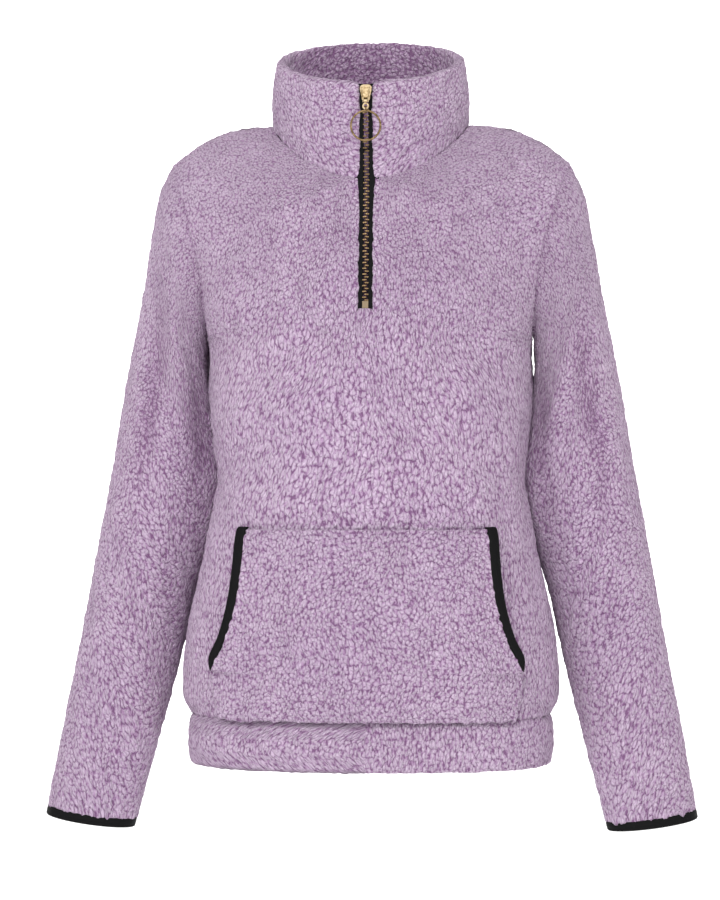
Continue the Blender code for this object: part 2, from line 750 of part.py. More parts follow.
def make_zip(line, out):
    tape_low = line[0, 2] + GAP
    stop_low = tape_low + STOP_FOOT
    stop_high = stop_low + STOP_HEIGHT
    chain_high = SLIDER_HEIGHT + CHAIN_IN_SLIDER
    half = CHAIN_HALF_WIDTH
    tape = cut_line(line, out, tape_low, line[-1, 2])
    right = strip("zip_tape_right", tape, half + 2 * GAP, SLIT_HALF_WIDTH - GAP, TAPE_THICK, BLACK_TRIM)
    copy_across(right, "zip_tape_left")
    chain = cut_line(line, out, stop_high + GAP, chain_high)
    strip("zip_chain", chain, -half, half, CHAIN_THICK, BRASS)
    stop = cut_line(line, out, stop_low, stop_high)
    strip("zip_bottom_stop", stop, -half, half, CHAIN_THICK, BRASS)


def slider_frame(line, out):
    """Turns and moves from the slider's own frame to its place on the zip's path."""
    y = np.interp(SLIDER_HEIGHT, line[:, 2], line[:, 1])
    facing = [np.interp(SLIDER_HEIGHT, line[:, 2], out[:, k]) for k in (1, 2)]
    lean = math.atan2(-facing[1], -facing[0])
    return Matrix.Translation((0.0, y, SLIDER_HEIGHT)) @ Matrix.Rotation(lean, 4, "X")


def add_block(build, block):
    low = np.array([block.left, block.front, block.low])
    high = np.array([block.right, block.back, block.high])
    for vertex in bmesh.ops.create_cube(build, size=1.0)["verts"]:
        vertex.co = low + (high - low) * (np.array(vertex.co) + 0.5)


def cylinder_along(build, axis, centre, radius, length, sides):
    made = bmesh.ops.create_cone(build, cap_ends=True, segments=sides, radius1=radius,
                                 radius2=radius, depth=length)["verts"]
    for vertex in made:
        x, y, z = vertex.co
        turned = {"x": (z, x, y), "y": (x, z, -y)}[axis]
        vertex.co = np.array(turned) + np.array(centre)


def scratch(name, build, place=None):
    """A cutter or a piece to be joined, kept out of the part."""
    if place:
        bmesh.ops.transform(build, matrix=place, verts=build.verts)
    build.normal_update()
    bmesh.ops.recalc_face_normals(build, faces=build.faces)
    mesh = bpy.data.meshes.new(name)
    build.to_mesh(mesh)
    build.free()
    made = bpy.data.objects.new(name, mesh)
    bpy.data.collections["cutters"].objects.link(made)
    made.hide_render = True
    made.display_type = "WIRE"
    return made


def combine(target, other, operation):
    step = target.modifiers.new(other.name, "BOOLEAN")
    step.operation = operation
    step.object = other


def slider_plate(place):
    """The front plate: wide round shoulders where the chain opens, narrow where it comes out."""
    right = [(corner.half_width, corner.height) for corner in SLIDER_OUTLINE]
    outline = right + [(-x, z) for x, z in right[::-1]]
    curve = bpy.data.curves.new("slider_outline", "CURVE")
    curve.dimensions = "2D"
    curve.fill_mode = "BOTH"
    curve.extrude = PLATE_THICK / 2
    spline = curve.splines.new("POLY")
    spline.points.add(len(outline) - 1)
    for corner, (x, z) in zip(spline.points, outline):
        corner.co = (x, z, 0.0, 1.0)
    spline.use_cyclic_u = True
    flat = bpy.data.objects.new("slider_outline", curve)
    bpy.data.collections["cutters"].objects.link(flat)
    seen = flat.evaluated_get(bpy.context.evaluated_depsgraph_get())
    mesh = bpy.data.meshes.new_from_object(seen)
    bpy.data.objects.remove(flat)
    upright = Matrix.Translation((0.0, FACE + PLATE_THICK / 2, 0.0)) @ Matrix.Rotation(math.pi / 2, 4, "X")
    build = bmesh.new()
    build.from_mesh(mesh)
    bmesh.ops.remove_doubles(build, verts=build.verts, dist=0.00001)
    bmesh.ops.transform(build, matrix=place @ upright, verts=build.verts)
    return add_object("zip_slider", finish_mesh("zip_slider", build), BRASS)


def make_slider(place):
    """Two plates joined by a post above the closed chain, a cap, two ears and the pull's pin."""
    slider = slider_plate(place)
    for block in SLIDER_BLOCKS:
        build = bmesh.new()
        add_block(build, block)
        combine(slider, scratch(block.name, build, place), "UNION")
    build = bmesh.new()
    add_block(build, CAP)
    for vertex in build.verts:
        if vertex.co.y < FACE and vertex.co.z > 0:
            vertex.co.y += CAP_SLOPE
    bmesh.ops.bevel(build, geom=build.edges[:], offset=CAP_ROUND, segments=2, affect="EDGES")
    combine(slider, scratch("cap", build, place), "UNION")
    build = bmesh.new()
    cylinder_along(build, "x", (0.0, *PIVOT), PIN_RADIUS, PIN_LENGTH, 20)
    combine(slider, scratch("pin", build, place), "UNION")


def hinge(name, point):
    """An empty on a joint's axis, for the pieces that turn about it."""
    made = bpy.data.objects.new(name, None)
    made.location = point
    made.empty_display_size = 0.01
    bpy.data.collections[NAME].objects.link(made)
    return made


def hang(made, axis):
    made.parent = axis
    made.location -= axis.location


def make_pull_link(pivot):
    """A barrel round the pin, a neck, and a flat eye below it."""
    plane, top = pivot[1], pivot[2]
    eye = (0.0, plane, top - EYE_DROP)
    build = bmesh.new()
    half = LINK_THICK / 2
    add_block(build, Block("neck", -LINK_NECK, LINK_NECK, plane - half, plane + half,
                           top - EYE_DROP + EYE_HOLE + GAP, top))
    link = add_object("pull_link", finish_mesh("pull_link", build), BRASS)
    build = bmesh.new()
    cylinder_along(build, "x", pivot, BARREL_RADIUS, BARREL_LENGTH, 24)
    combine(link, scratch("link_barrel", build), "UNION")
    build = bmesh.new()
    cylinder_along(build, "y", eye, EYE_RADIUS, LINK_THICK * 1.1, 28)
    combine(link, scratch("link_eye", build), "UNION")
    build = bmesh.new()
    cylinder_along(build, "y", eye, EYE_HOLE, LINK_THICK * 4, 24)
    combine(link, scratch("link_eye_hole", build), "DIFFERENCE")
    build = bmesh.new()
    cylinder_along(build, "x", pivot, BARREL_HOLE, BARREL_LENGTH * 2, 20)
    combine(link, scratch("link_pin_hole", build), "DIFFERENCE")
    hang(link, hinge("pull_link_axis", pivot))


def wire_ring(name, centre, turn, radius, wire, count):
    """A closed ring of round wire."""
    bpy.ops.mesh.primitive_torus_add(location=centre, rotation=turn, major_radius=radius,
                                     minor_radius=wire, major_segments=count, minor_segments=WIRE_SIDES)
    torus = bpy.context.object
    made = add_object(name, torus.data, BRASS)
    made.matrix_world = torus.matrix_world
    bpy.data.objects.remove(torus)
    return made


def make_pull_ring(pivot):
    """The round pull and the small loop that hangs it in the link's eye."""
    up = np.array([0.0, 0.0, 1.0])
    flat, edge_on = (math.pi / 2, 0.0, 0.0), (0.0, math.pi / 2, 0.0)
    axis = hinge("pull_ring_axis", pivot - up * RIM_DROP)
    hang(wire_ring("pull_ring", pivot - up * RING_DROP, flat, RING_RADIUS, RING_WIRE, 36), axis)
    hang(wire_ring("pull_loop", pivot - up * LOOP_DROP, edge_on, LOOP_RADIUS, LOOP_WIRE, 20), axis)


def build_pullover():
    clear_scene()
    for name in (NAME, "cutters"):
        bpy.context.scene.collection.children.link(bpy.data.collections.new(name))
    grids, normals = make_body_and_sleeves()
    make_cuff_bindings(grids, normals)
    collar_sections = make_collar()
    make_hem_band(grids)
    make_pocket()
    make_pocket_bindings()
    line, out = zip_line(collar_sections)
    make_zip(line, out)
    place = slider_frame(line, out)
    make_slider(place)
    pivot = np.array(place @ Vector((0.0, *PIVOT)))
    make_pull_link(pivot)
    make_pull_ring(pivot)


build_pullover()
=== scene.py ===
"""The looks of the plush half-zip pullover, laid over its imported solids.

Each plush panel becomes a thin shell on its solid's own surface, finely divided. The mesh has the
pile's broad swell and ragged edges, and the material has its curls. Metres, +Z up, -Y to the front.
"""

import math
from collections import namedtuple

import bpy
import numpy as np
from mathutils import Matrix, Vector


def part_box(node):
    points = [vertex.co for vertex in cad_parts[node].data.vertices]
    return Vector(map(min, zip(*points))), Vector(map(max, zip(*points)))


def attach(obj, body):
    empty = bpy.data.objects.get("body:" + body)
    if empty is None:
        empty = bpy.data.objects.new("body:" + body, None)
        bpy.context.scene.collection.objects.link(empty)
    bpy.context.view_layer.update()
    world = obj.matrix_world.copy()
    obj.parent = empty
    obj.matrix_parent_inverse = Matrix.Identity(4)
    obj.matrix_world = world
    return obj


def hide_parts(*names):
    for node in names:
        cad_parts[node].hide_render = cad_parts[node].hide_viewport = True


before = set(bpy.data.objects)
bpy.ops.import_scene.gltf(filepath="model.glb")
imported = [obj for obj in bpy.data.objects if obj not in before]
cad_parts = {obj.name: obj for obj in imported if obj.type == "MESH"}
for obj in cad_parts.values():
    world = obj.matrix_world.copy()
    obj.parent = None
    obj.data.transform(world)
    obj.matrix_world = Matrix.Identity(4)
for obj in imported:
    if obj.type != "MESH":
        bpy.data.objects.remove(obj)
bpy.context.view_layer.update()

# The solids' sizes, as the part states them.
GAP = 0.0003
PLUSH = 0.005
COLLAR_THICK = 0.0125
BAND_THICK = 0.010
BINDING_THICK = 0.0032
Section = namedtuple("Section", "height half_width front back")
BODY = (
    Section(-0.587, 0.1805, 0.1040, 0.1080),
    Section(-0.572, 0.1878, 0.1100, 0.1140),
    Section(-0.552, 0.1887, 0.1130, 0.1170),
    Section(-0.519, 0.1865, 0.1130, 0.1150),
    Section(-0.458, 0.1745, 0.1090, 0.1060),
    Section(-0.400, 0.1610, 0.1050, 0.0965),
    Section(-0.353, 0.1512, 0.1025, 0.0900),
    Section(-0.316, 0.1556, 0.1045, 0.0920),
    Section(-0.277, 0.1596, 0.1080, 0.0960),
    Section(-0.222, 0.1620, 0.1105, 0.1010),
    Section(-0.190, 0.1620, 0.1095, 0.1040),
)
SQUARENESS = 2.3
Middle = namedtuple("Middle", "height depth")
CENTRE_FRONT = (
    Middle(-0.277, 0.1080),
    Middle(-0.222, 0.1105),
    Middle(-0.190, 0.1095),
    Middle(-0.150, 0.1040),
    Middle(-0.100, 0.0950),
    Middle(-0.061, 0.0865),
)
CENTRE_BACK = (
    Middle(-0.277, 0.0960),
    Middle(-0.222, 0.1010),
    Middle(-0.190, 0.1040),
    Middle(-0.160, 0.1055),
    Middle(-0.120, 0.1035),
    Middle(-0.070, 0.0915),
    Middle(-0.016, 0.0620),
)
NECK_HALF_WIDTH = 0.0985
Neckline = namedtuple("Neckline", "depth drop power")
NECK_FRONT = Neckline(0.0865, 0.061, 1.6)
NECK_BACK = Neckline(0.0620, 0.016, 1.5)
ARMPIT = np.array([0.1620, 0.0, -0.222])
SHOULDER_TIP = np.array([0.1990, 0.003, -0.038])
ARMHOLE_HALF_DEPTH = 0.058
ARMHOLE_HOLLOW_FRONT = 0.0095
ARMHOLE_HOLLOW_BACK = 0.004
SHOULDER_RISE = 0.0120
ROW_TURN_LOW = 90
ROW_TURN_TOP = 38
CHEST_SWELL = 0.006
BLADE_SWELL = 0.005
Sleeve = namedtuple("Sleeve", "along outer_x outer_z inner_x inner_z half_depth middle_y")
SLEEVE = (
    Sleeve(0.00, 0.1990, -0.0380, 0.1620, -0.2220, 0.0580, 0.0015),
    Sleeve(0.06, 0.2125, -0.0650, 0.1634, -0.2470, 0.0600, 0.0080),
    Sleeve(0.14, 0.2225, -0.1100, 0.1616, -0.2740, 0.0625, 0.0180),
    Sleeve(0.24, 0.2335, -0.1720, 0.1572, -0.3060, 0.0625, 0.0260),
    Sleeve(0.36, 0.2490, -0.2470, 0.1500, -0.3450, 0.0600, 0.0310),
    Sleeve(0.50, 0.2645, -0.3400, 0.1592, -0.4000, 0.0570, 0.0320),
    Sleeve(0.64, 0.2812, -0.4320, 0.1782, -0.4700, 0.0530, 0.0260),
    Sleeve(0.76, 0.2950, -0.5150, 0.1940, -0.5420, 0.0480, 0.0140),
    Sleeve(0.88, 0.3095, -0.5970, 0.2120, -0.6130, 0.0415, 0.0000),
    Sleeve(1.00, 0.3235, -0.6785, 0.2325, -0.6920, 0.0345, -0.0140),
)
Trough = namedtuple("Trough", "around start end width depth")
SLEEVE_TROUGHS = (
    Trough(48.0, 0.16, 0.50, 17.0, 0.0045),
    Trough(113.0, 0.18, 0.56, 15.0, 0.0035),
    Trough(245.0, 0.20, 0.60, 17.0, 0.0040),
    Trough(305.0, 0.14, 0.46, 17.0, 0.0045),
)
HOLLOW_FADE = 0.14
CUFF_BINDING_HEIGHT = 0.0098
COLLAR_TOP_HALF_WIDTH = 0.0948
COLLAR_TOP_FRONT = 0.0985
COLLAR_TOP_BACK = 0.0710
COLLAR_TOP_HEIGHT = 0.0680
COLLAR_TOP_TILT = 0.36
COLLAR_SWELL = 0.0025
BAND_BOTTOM = -0.6375
BAND_ROUND = BAND_THICK / 2
BAND_SIDE = BODY[0].height - BAND_BOTTOM - BAND_ROUND
BandPoint = namedtuple("BandPoint", "drop aside")
BAND_OUTER = (
    BandPoint(GAP, -0.0012),
    BandPoint(0.0060, 0.0010),
    BandPoint(0.0175, 0.0030),
    BandPoint(0.0325, 0.0030),
    BandPoint(BAND_SIDE, 0.0010),
)
BAND_INNER = (
    BandPoint(BAND_SIDE, -0.0090),
    BandPoint(0.0200, -0.0085),
    BandPoint(GAP, -0.0100),
)
Pocket = namedtuple("Pocket", "height half_width binding")
POCKET = (
    Pocket(-0.5855, 0.1425, 0.0),
    Pocket(-0.5410, 0.1455, 0.0),
    Pocket(-0.5290, 0.1385, 0.0075),
    Pocket(-0.5070, 0.1275, 0.0084),
    Pocket(-0.4790, 0.1190, 0.0086),
    Pocket(-0.4440, 0.1140, 0.0090),
    Pocket(-0.4000, 0.1130, 0.0096),
)
POCKET_SEAT = 0.0008
POCKET_FULLNESS = 0.0062
POCKET_GAPE = 0.0125
BINDING_TIP = 0.0012
POCKET_SIDE_SEAM_TOP = -0.541
SLIT_HALF_WIDTH = 0.0078
SLIT_FOOT = 0.0012
ZIP_BOTTOM = -0.1905
ZIP_DEPTH = 0.0030
STOP_FOOT = 0.0016
STOP_HEIGHT = 0.0068
SLIDER_HEIGHT = 0.0197
CHAIN_IN_SLIDER = 0.0016
ARM_ROWS = 14
NECK_ROWS_FRONT = 7
NECK_ROWS_BACK = 5
DENSE = 160
# The step above the armpit at which the zip's slit starts.
SLIT_STEP = 1.5
SLIT_EASE = 4.0
# Rows on each side of the armpit's over which the bend there is eased, and how often.
EASED_ROWS = 16
EASINGS = 90

# How the looks are divided: the side of a quad on the outer plush, and quads to one inner quad.
FINE_BODY = 0.00182
FINE_SLEEVE = 0.00175
FINE_SMALL = 0.0015
COARSE = 6

# Pile: how far its broad swell sinks, the most that it and an edge's rounding sink together, and
# how wide the curls are on the body.
PILE_DEPTH = 0.0019
DEEPEST = 0.0036
CURL_WIDTH = 0.0029
# How long the curls are at some heights of the body, and down the sleeve from its armhole.
BODY_CURLS = (
    (-0.65, 0.0056), (-0.45, 0.0064), (-0.26, 0.0070), (-0.18, 0.0050), (-0.13, 0.0037), (0.15, 0.0037),
)
SLEEVE_CURLS = ((-0.70, 0.0048), (-0.50, 0.0060), (-0.12, 0.0062), (0.0, 0.0042))
# How strongly painted shade darkens the sleeve's folds, its inner side and its seam, and how deep its folds
# sink.
FOLD_SHADE = 1.05
INSIDE_SHADE = 0.75
SEAM_SHADE = 0.55
FOLD_DEPTH = 0.0026
# How much fuller the pile is where body and sleeve face each other.
BODY_BRIDGE = 0.0034
SLEEVE_BRIDGE = 0.0046
# From one tooth of the zip to the next on the same side.
TEETH_PITCH = 0.0056


# Noise on a plane, the same in each run.

def scramble(ix, iy, seed):
    """A number from 0 to 1 for each cell."""
    n = (ix.astype(np.int64) * 374761393 + iy.astype(np.int64) * 668265263 + seed * 974634777) & 0xFFFFFFFF
    n = ((n ^ (n >> 13)) * 1274126177) & 0xFFFFFFFF
    n = ((n ^ (n >> 16)) * 2246822519) & 0xFFFFFFFF
    return ((n ^ (n >> 15)) & 0xFFFFFF) / float(0xFFFFFF)


def waves(u, v, scale, seed):
    """Smooth noise from -1 to 1."""
    x, y = u / scale, v / scale
    ix, iy = np.floor(x), np.floor(y)
    fx, fy = x - ix, y - iy
    fx, fy = fx * fx * (3 - 2 * fx), fy * fy * (3 - 2 * fy)
    a, b = scramble(ix, iy, seed), scramble(ix + 1, iy, seed)
    c, d = scramble(ix, iy + 1, seed), scramble(ix + 1, iy + 1, seed)
    return 2 * ((a * (1 - fx) + b * fx) * (1 - fy) + (c * (1 - fx) + d * fx) * fy) - 1


def pile(u, v, seed):
    """The broad swell of the pile, from 0 to 1: its curls are in the material."""
    broad = waves(u, v, 0.0105, seed + 15) * 0.5
    small = waves(u + 0.3 * v, v, 0.0052, seed + 16) * 0.6
    fuzz = waves(u, v, 0.0027, seed + 17) * 0.45
    return np.clip(0.55 + 0.5 * (broad + small + fuzz), 0.0, 1.0)


def walk(v, knots):
    """How many curls lie below each height, where knots give the curls' length at some heights."""
    table = np.array(sorted(knots))
    at = np.linspace(v.min() - 0.001, v.max() + 0.001, 600)
    each = np.interp(at, table[:, 0], table[:, 1])
    return np.interp(v, at, np.cumsum(1 / each) * (at[1] - at[0]))


def curl_places(u, v, width, knots, lean, seed):
    """Where each point lies among the curls, counted in curls across and along."""
    bent = u + lean * v + 0.0055 * waves(u, v, 0.055, seed + 31) + 0.0020 * waves(u, v, 0.021, seed + 32)
    rise = v + 0.0032 * waves(u, v, 0.048, seed + 33)
    return np.stack([bent / width, walk(rise, knots)], axis=-1)


# Surfaces, as the part makes them.

def through_rows(rows, places):
    """Each column of a table as a smooth curve through its rows, read at the given places."""
    table = np.array(rows, float)
    table = table[np.argsort(table[:, 0])]
    xs, ys = table[:, 0], table[:, 1:]
    slopes = np.gradient(ys, xs, axis=0)
    places = np.atleast_1d(places)
    i = np.clip(np.searchsorted(xs, places) - 1, 0, len(xs) - 2)
    span = (xs[i + 1] - xs[i])[:, None]
    t = (places - xs[i])[:, None] / span
    return (
        (2 * t**3 - 3 * t**2 + 1) * ys[i]
        + (t**3 - 2 * t**2 + t) * span * slopes[i]
        + (3 * t**2 - 2 * t**3) * ys[i + 1]
        + (t**3 - t**2) * span * slopes[i + 1]
    )


def unit(vectors):
    return vectors / np.maximum(np.linalg.norm(vectors, axis=-1, keepdims=True), 1e-12)


def evenly(points, count):
    """count + 1 points at equal steps along a line of points."""
    steps = np.linalg.norm(np.diff(points, axis=0), axis=1)
    along = np.concatenate([[0.0], np.cumsum(steps)])
    at = np.linspace(0.0, along[-1], count + 1)
    return np.stack([np.interp(at, along, points[:, k]) for k in range(points.shape[1])], axis=1)


def run_length(points, axis):
    """How far each point of a grid lies along its row or column."""
    steps = np.linalg.norm(np.diff(points, axis=axis), axis=-1)
    zero = np.zeros_like(np.take(steps, [0], axis=axis))
    return np.cumsum(np.concatenate([zero, steps], axis=axis), axis=axis)


def whole_steps(length, step):
    """A number of quads that the coarse inner side divides."""
    return max(1, round(length / step / COARSE)) * COARSE


def arc_row(inner, outer, turn, power):
    phi = np.linspace(0.0, turn, DENSE)
    across = (np.sin(phi) / math.sin(turn)) ** power
    depth = ((np.cos(phi) - math.cos(turn)) / (1 - math.cos(turn))).clip(0.0) ** power
    x = inner[0] + (outer[0] - inner[0]) * across
    y = outer[1] + (inner[1] - outer[1]) * depth
    z = inner[2] + (outer[2] - inner[2]) * across
    return np.stack([x, y, z], axis=1)


def neck_point(angle, half, side):
    x = NECK_HALF_WIDTH * math.sin(angle)
    y = side * half.depth * math.cos(angle)
    z = -half.drop * max(math.cos(angle), 0.0) ** half.power
    return np.array([x, y, z])


def armhole_point(angle, side):
    centre, reach = (ARMPIT + SHOULDER_TIP) / 2, (SHOULDER_TIP - ARMPIT) / 2
    hollow = ARMHOLE_HOLLOW_FRONT if side < 0 else ARMHOLE_HOLLOW_BACK
    point = centre - reach * math.cos(angle)
    point[0] -= hollow * math.sin(angle) ** 2
    point[1] += side * ARMHOLE_HALF_DEPTH * math.sin(angle)
    return point


def body_row(height, side):
    width, front, back = through_rows(BODY, height)[0]
    depth = front if side < 0 else back
    inner = np.array([0.0, side * depth, height])
    outer = np.array([width, 0.0, height])
    return arc_row(inner, outer, math.pi / 2, 2 / SQUARENESS)


def inner_end(step, side):
    """Where the row at a step above the armpit starts: the centre line, then the neck seam."""
    if side < 0:
        half, table, first = NECK_FRONT, CENTRE_FRONT, ARM_ROWS - NECK_ROWS_FRONT
        low_angle = math.asin(SLIT_HALF_WIDTH / NECK_HALF_WIDTH)
        heights = [ARMPIT[2], ZIP_BOTTOM - SLIT_FOOT]
        top = neck_point(low_angle, half, side)[2]
        heights += list(np.linspace(ZIP_BOTTOM, top, first - 1))
    else:
        half, table, first = NECK_BACK, CENTRE_BACK, ARM_ROWS - NECK_ROWS_BACK
        low_angle = 0.0
        heights = list(np.linspace(ARMPIT[2], neck_point(0.0, half, side)[2], first + 1))
    if step >= first:
        share = (step - first) / (ARM_ROWS - first)
        return neck_point(low_angle + (math.pi / 2 - low_angle) * share, half, side)
    z = np.interp(step, range(len(heights)), heights)
    depth = through_rows(table, z)[0, 0]
    share = min(step / SLIT_EASE, 1.0)
    x = SLIT_HALF_WIDTH * share * share * (3 - 2 * share) if side < 0 else 0.0
    return np.array([x, side * depth, z])


def upper_row(step, side):
    share = step / ARM_ROWS
    eased = share * share * (3 - 2 * share)
    outer = armhole_point(math.pi * share, side)
    turn = math.radians(ROW_TURN_LOW + (ROW_TURN_TOP - ROW_TURN_LOW) * eased)
    power = 2 / SQUARENESS + (1 - 2 / SQUARENESS) * eased
    row = arc_row(inner_end(step, side), outer, turn, power)
    hump = np.sin(np.linspace(0.0, math.pi, DENSE))
    swell = CHEST_SWELL if side < 0 else BLADE_SWELL
    row[:, 1] += side * swell * hump * math.sin(math.pi * share) ** 2
    row[:, 2] += SHOULDER_RISE * hump * share**4
    return row


def even_steps(low, high, side):
    """Steps above the armpit at which rows lie evenly apart, without the first."""
    dense = np.linspace(low, high, 200)
    inner = np.array([inner_end(step, side) for step in dense])
    outer = np.array([armhole_point(math.pi * step / ARM_ROWS, side) for step in dense])
    moved = sum(np.linalg.norm(np.diff(line, axis=0), axis=1) for line in (inner, outer)) / 2
    far = np.concatenate([[0.0], np.cumsum(moved)])
    return np.interp(np.linspace(0.0, far[-1], whole_steps(far[-1], FINE_BODY) + 1), far, dense)[1:]


def ease_rows(grid, middle, fixed=True):
    """Smooths a grid up and down near one row, less and less towards a side that stays."""
    rows = 1 - np.abs(np.arange(len(grid)) - middle) / EASED_ROWS
    weight = rows.clip(0.0)[:, None, None] * np.ones((1, grid.shape[1], 1))
    if fixed:
        to_side = grid.shape[1] - 1 - np.arange(grid.shape[1])
        weight = weight * np.clip(to_side / 12, 0.0, 1.0)[None, :, None]
    for _ in range(EASINGS):
        grid[1:-1] += weight[1:-1] * (grid[:-2] - 2 * grid[1:-1] + grid[2:]) / 4
    return grid


def panel_grids(side):
    """The right half of a body panel from the slit's edge outwards, and a strip down its centre.

    Rows run from the hem up. In front the strip ends at the slit's foot, and behind at the neck.
    """
    low, high = BODY[0].height, ARMPIT[2]
    lower = whole_steps(high - low, FINE_BODY)
    columns = whole_steps(0.218, FINE_BODY)
    rows = [body_row(z, side) for z in np.linspace(low, high, lower + 1)]
    foot = SLIT_STEP if side < 0 else ARM_ROWS - NECK_ROWS_BACK
    below, above = even_steps(0.0, foot, side), even_steps(foot, ARM_ROWS, side)
    rows += [upper_row(step, side) for step in np.concatenate([below, above])]
    last = lower + len(below)
    places = np.linspace(-1.0, 1.0, 2 * COARSE + 1) * SLIT_HALF_WIDTH
    half, strip = [], []
    for number, row in enumerate(rows):
        if number <= last:
            strip.append([[x, *(np.interp(abs(x), row[:, 0], row[:, k]) for k in (1, 2))] for x in places])
        if row[0, 0] < SLIT_HALF_WIDTH - 1e-6:
            edge = np.array([np.interp(SLIT_HALF_WIDTH, row[:, 0], row[:, k]) for k in range(3)])
            row = np.concatenate([edge[None], row[row[:, 0] > SLIT_HALF_WIDTH + 1e-6]])
        half.append(evenly(row, columns))
    half, strip = ease_rows(np.array(half), lower), ease_rows(np.array(strip), lower, fixed=False)
    strip[:, -1] = half[:last + 1, 0]
    strip[:, 0] = strip[:, -1] * [-1.0, 1.0, 1.0]
    return half, strip


def sleeve_trough(along, degrees):
    drawn = np.zeros_like(degrees)
    for fold in SLEEVE_TROUGHS:
        if fold.start < along < fold.end:
            length = math.sin(math.pi * (along - fold.start) / (fold.end - fold.start))
            off = (degrees - fold.around) / fold.width
            drawn += fold.depth * length * np.exp(-off * off)
    return drawn


def sleeve_ring(place, count):
    outer_x, outer_z, inner_x, inner_z, half_depth, middle_y = through_rows(SLEEVE, place)[0]
    angle = np.linspace(0.0, 2 * math.pi, count + 1)
    lift = (1 - np.cos(angle)) / 2
    middle = np.array([(outer_x + inner_x) / 2, middle_y, (outer_z + inner_z) / 2])
    ring = np.stack([
        inner_x + (outer_x - inner_x) * lift,
        middle_y - half_depth * np.sin(angle),
        inner_z + (outer_z - inner_z) * lift,
    ], axis=1)
    draw = 1 - sleeve_trough(place, np.degrees(angle)) / half_depth
    ring = middle + (ring - middle) * draw[:, None]
    hollow = np.where(angle <= math.pi, ARMHOLE_HOLLOW_FRONT, ARMHOLE_HOLLOW_BACK)
    ring[:, 0] -= max(0.0, 1 - place / HOLLOW_FADE) * hollow * np.sin(angle) ** 2
    ring[-1] = ring[0]
    return ring


def sleeve_grid():
    """The sleeve's rings from the armhole to the cuff, each from the armpit round by the front."""
    count = whole_steps(0.31, FINE_SLEEVE)
    rings = whole_steps(0.66, FINE_SLEEVE)
    first = np.array([armhole_point(a if a <= math.pi else 2 * math.pi - a, -1 if a <= math.pi else 1)
                      for a in np.linspace(0.0, 2 * math.pi, count + 1)])
    first[-1] = first[0]
    grid = [first]
    for place in np.linspace(0.0, 1.0, rings + 1)[1:]:
        ring = sleeve_ring(place, count)
        ease = max(0.0, 1 - place / 0.03)
        grid.append(ring * (1 - ease) + first * ease)
    return np.array(grid)


def collar_stations(count):
    """Neck seam points round the right half, from the zip to the centre back."""
    low_angle = math.asin(SLIT_HALF_WIDTH / NECK_HALF_WIDTH)
    line, marks = [], []
    for a in np.linspace(low_angle, math.pi / 2, 200):
        line.append(neck_point(a, NECK_FRONT, -1))
        marks.append((-1, a))
    for a in np.linspace(math.pi / 2, 0.0, 200)[1:]:
        line.append(neck_point(a, NECK_BACK, 1))
        marks.append((1, a))
    line = np.array(line)
    far = np.concatenate([[0.0], np.cumsum(np.linalg.norm(np.diff(line, axis=0), axis=1))])
    signed = np.array([a if side < 0 else math.pi - a for side, a in marks])
    found = []
    for at in np.linspace(0.0, far[-1], count + 1):
        turn = float(np.interp(at, far, signed))
        side, angle = (-1, turn) if turn <= math.pi / 2 else (1, math.pi - turn)
        found.append((neck_point(angle, NECK_FRONT if side < 0 else NECK_BACK, side), angle, side))
    return found


def collar_section(low, angle, side, rows):
    """The collar's section from its outer foot over the fold to its inner foot."""
    depth = COLLAR_TOP_FRONT if side < 0 else COLLAR_TOP_BACK
    x = COLLAR_TOP_HALF_WIDTH * math.sin(angle)
    if side < 0:
        x = max(x, SLIT_HALF_WIDTH)
    y = side * depth * math.cos(angle)
    top = np.array([x, y, COLLAR_TOP_HEIGHT + COLLAR_TOP_TILT * y])
    low = low + np.array([0.0, 0.0, GAP])
    sideways = math.sin(angle) / COLLAR_TOP_HALF_WIDTH
    if side < 0:
        sideways *= min(1.0, max(0.0, (low[0] - SLIT_HALF_WIDTH) / 0.02))
    out = unit(np.array([sideways, side * math.cos(angle) / depth, 0.0]))
    rise = top - low
    radius = COLLAR_THICK / 2
    to_fold = rise * (1 - radius / np.linalg.norm(rise))
    points = []
    for share in np.linspace(0.0, 1.0, 30):
        swell = COLLAR_SWELL * math.sin(math.pi * share)
        points.append(low + to_fold * share + out * swell)
    fold = low + to_fold - out * radius
    for bend in np.linspace(0.0, math.pi, 20)[1:-1]:
        points.append(fold + out * radius * math.cos(bend) + unit(rise) * radius * math.sin(bend))
    for share in np.linspace(1.0, 0.0, 30):
        points.append(low + to_fold * share - out * COLLAR_THICK)
    return evenly(np.array(points), rows)


def front_surface(x, height):
    """The front panel's outer surface below the armpit, and its normal, for arrays of places."""
    def place(across, level):
        table = through_rows(BODY, level.ravel())
        width = table[:, 0].reshape(level.shape)
        front = table[:, 1].reshape(level.shape)
        share = np.clip(1 - (np.abs(across) / width) ** SQUARENESS, 0.0, 1.0)
        return np.stack([across, -front * share ** (1 / SQUARENESS), level], axis=-1)

    step = 0.001
    here = place(x, height)
    normal = np.cross(place(x + step, height) - place(x - step, height),
                      place(x, height + step) - place(x, height - step))
    return here, unit(normal)


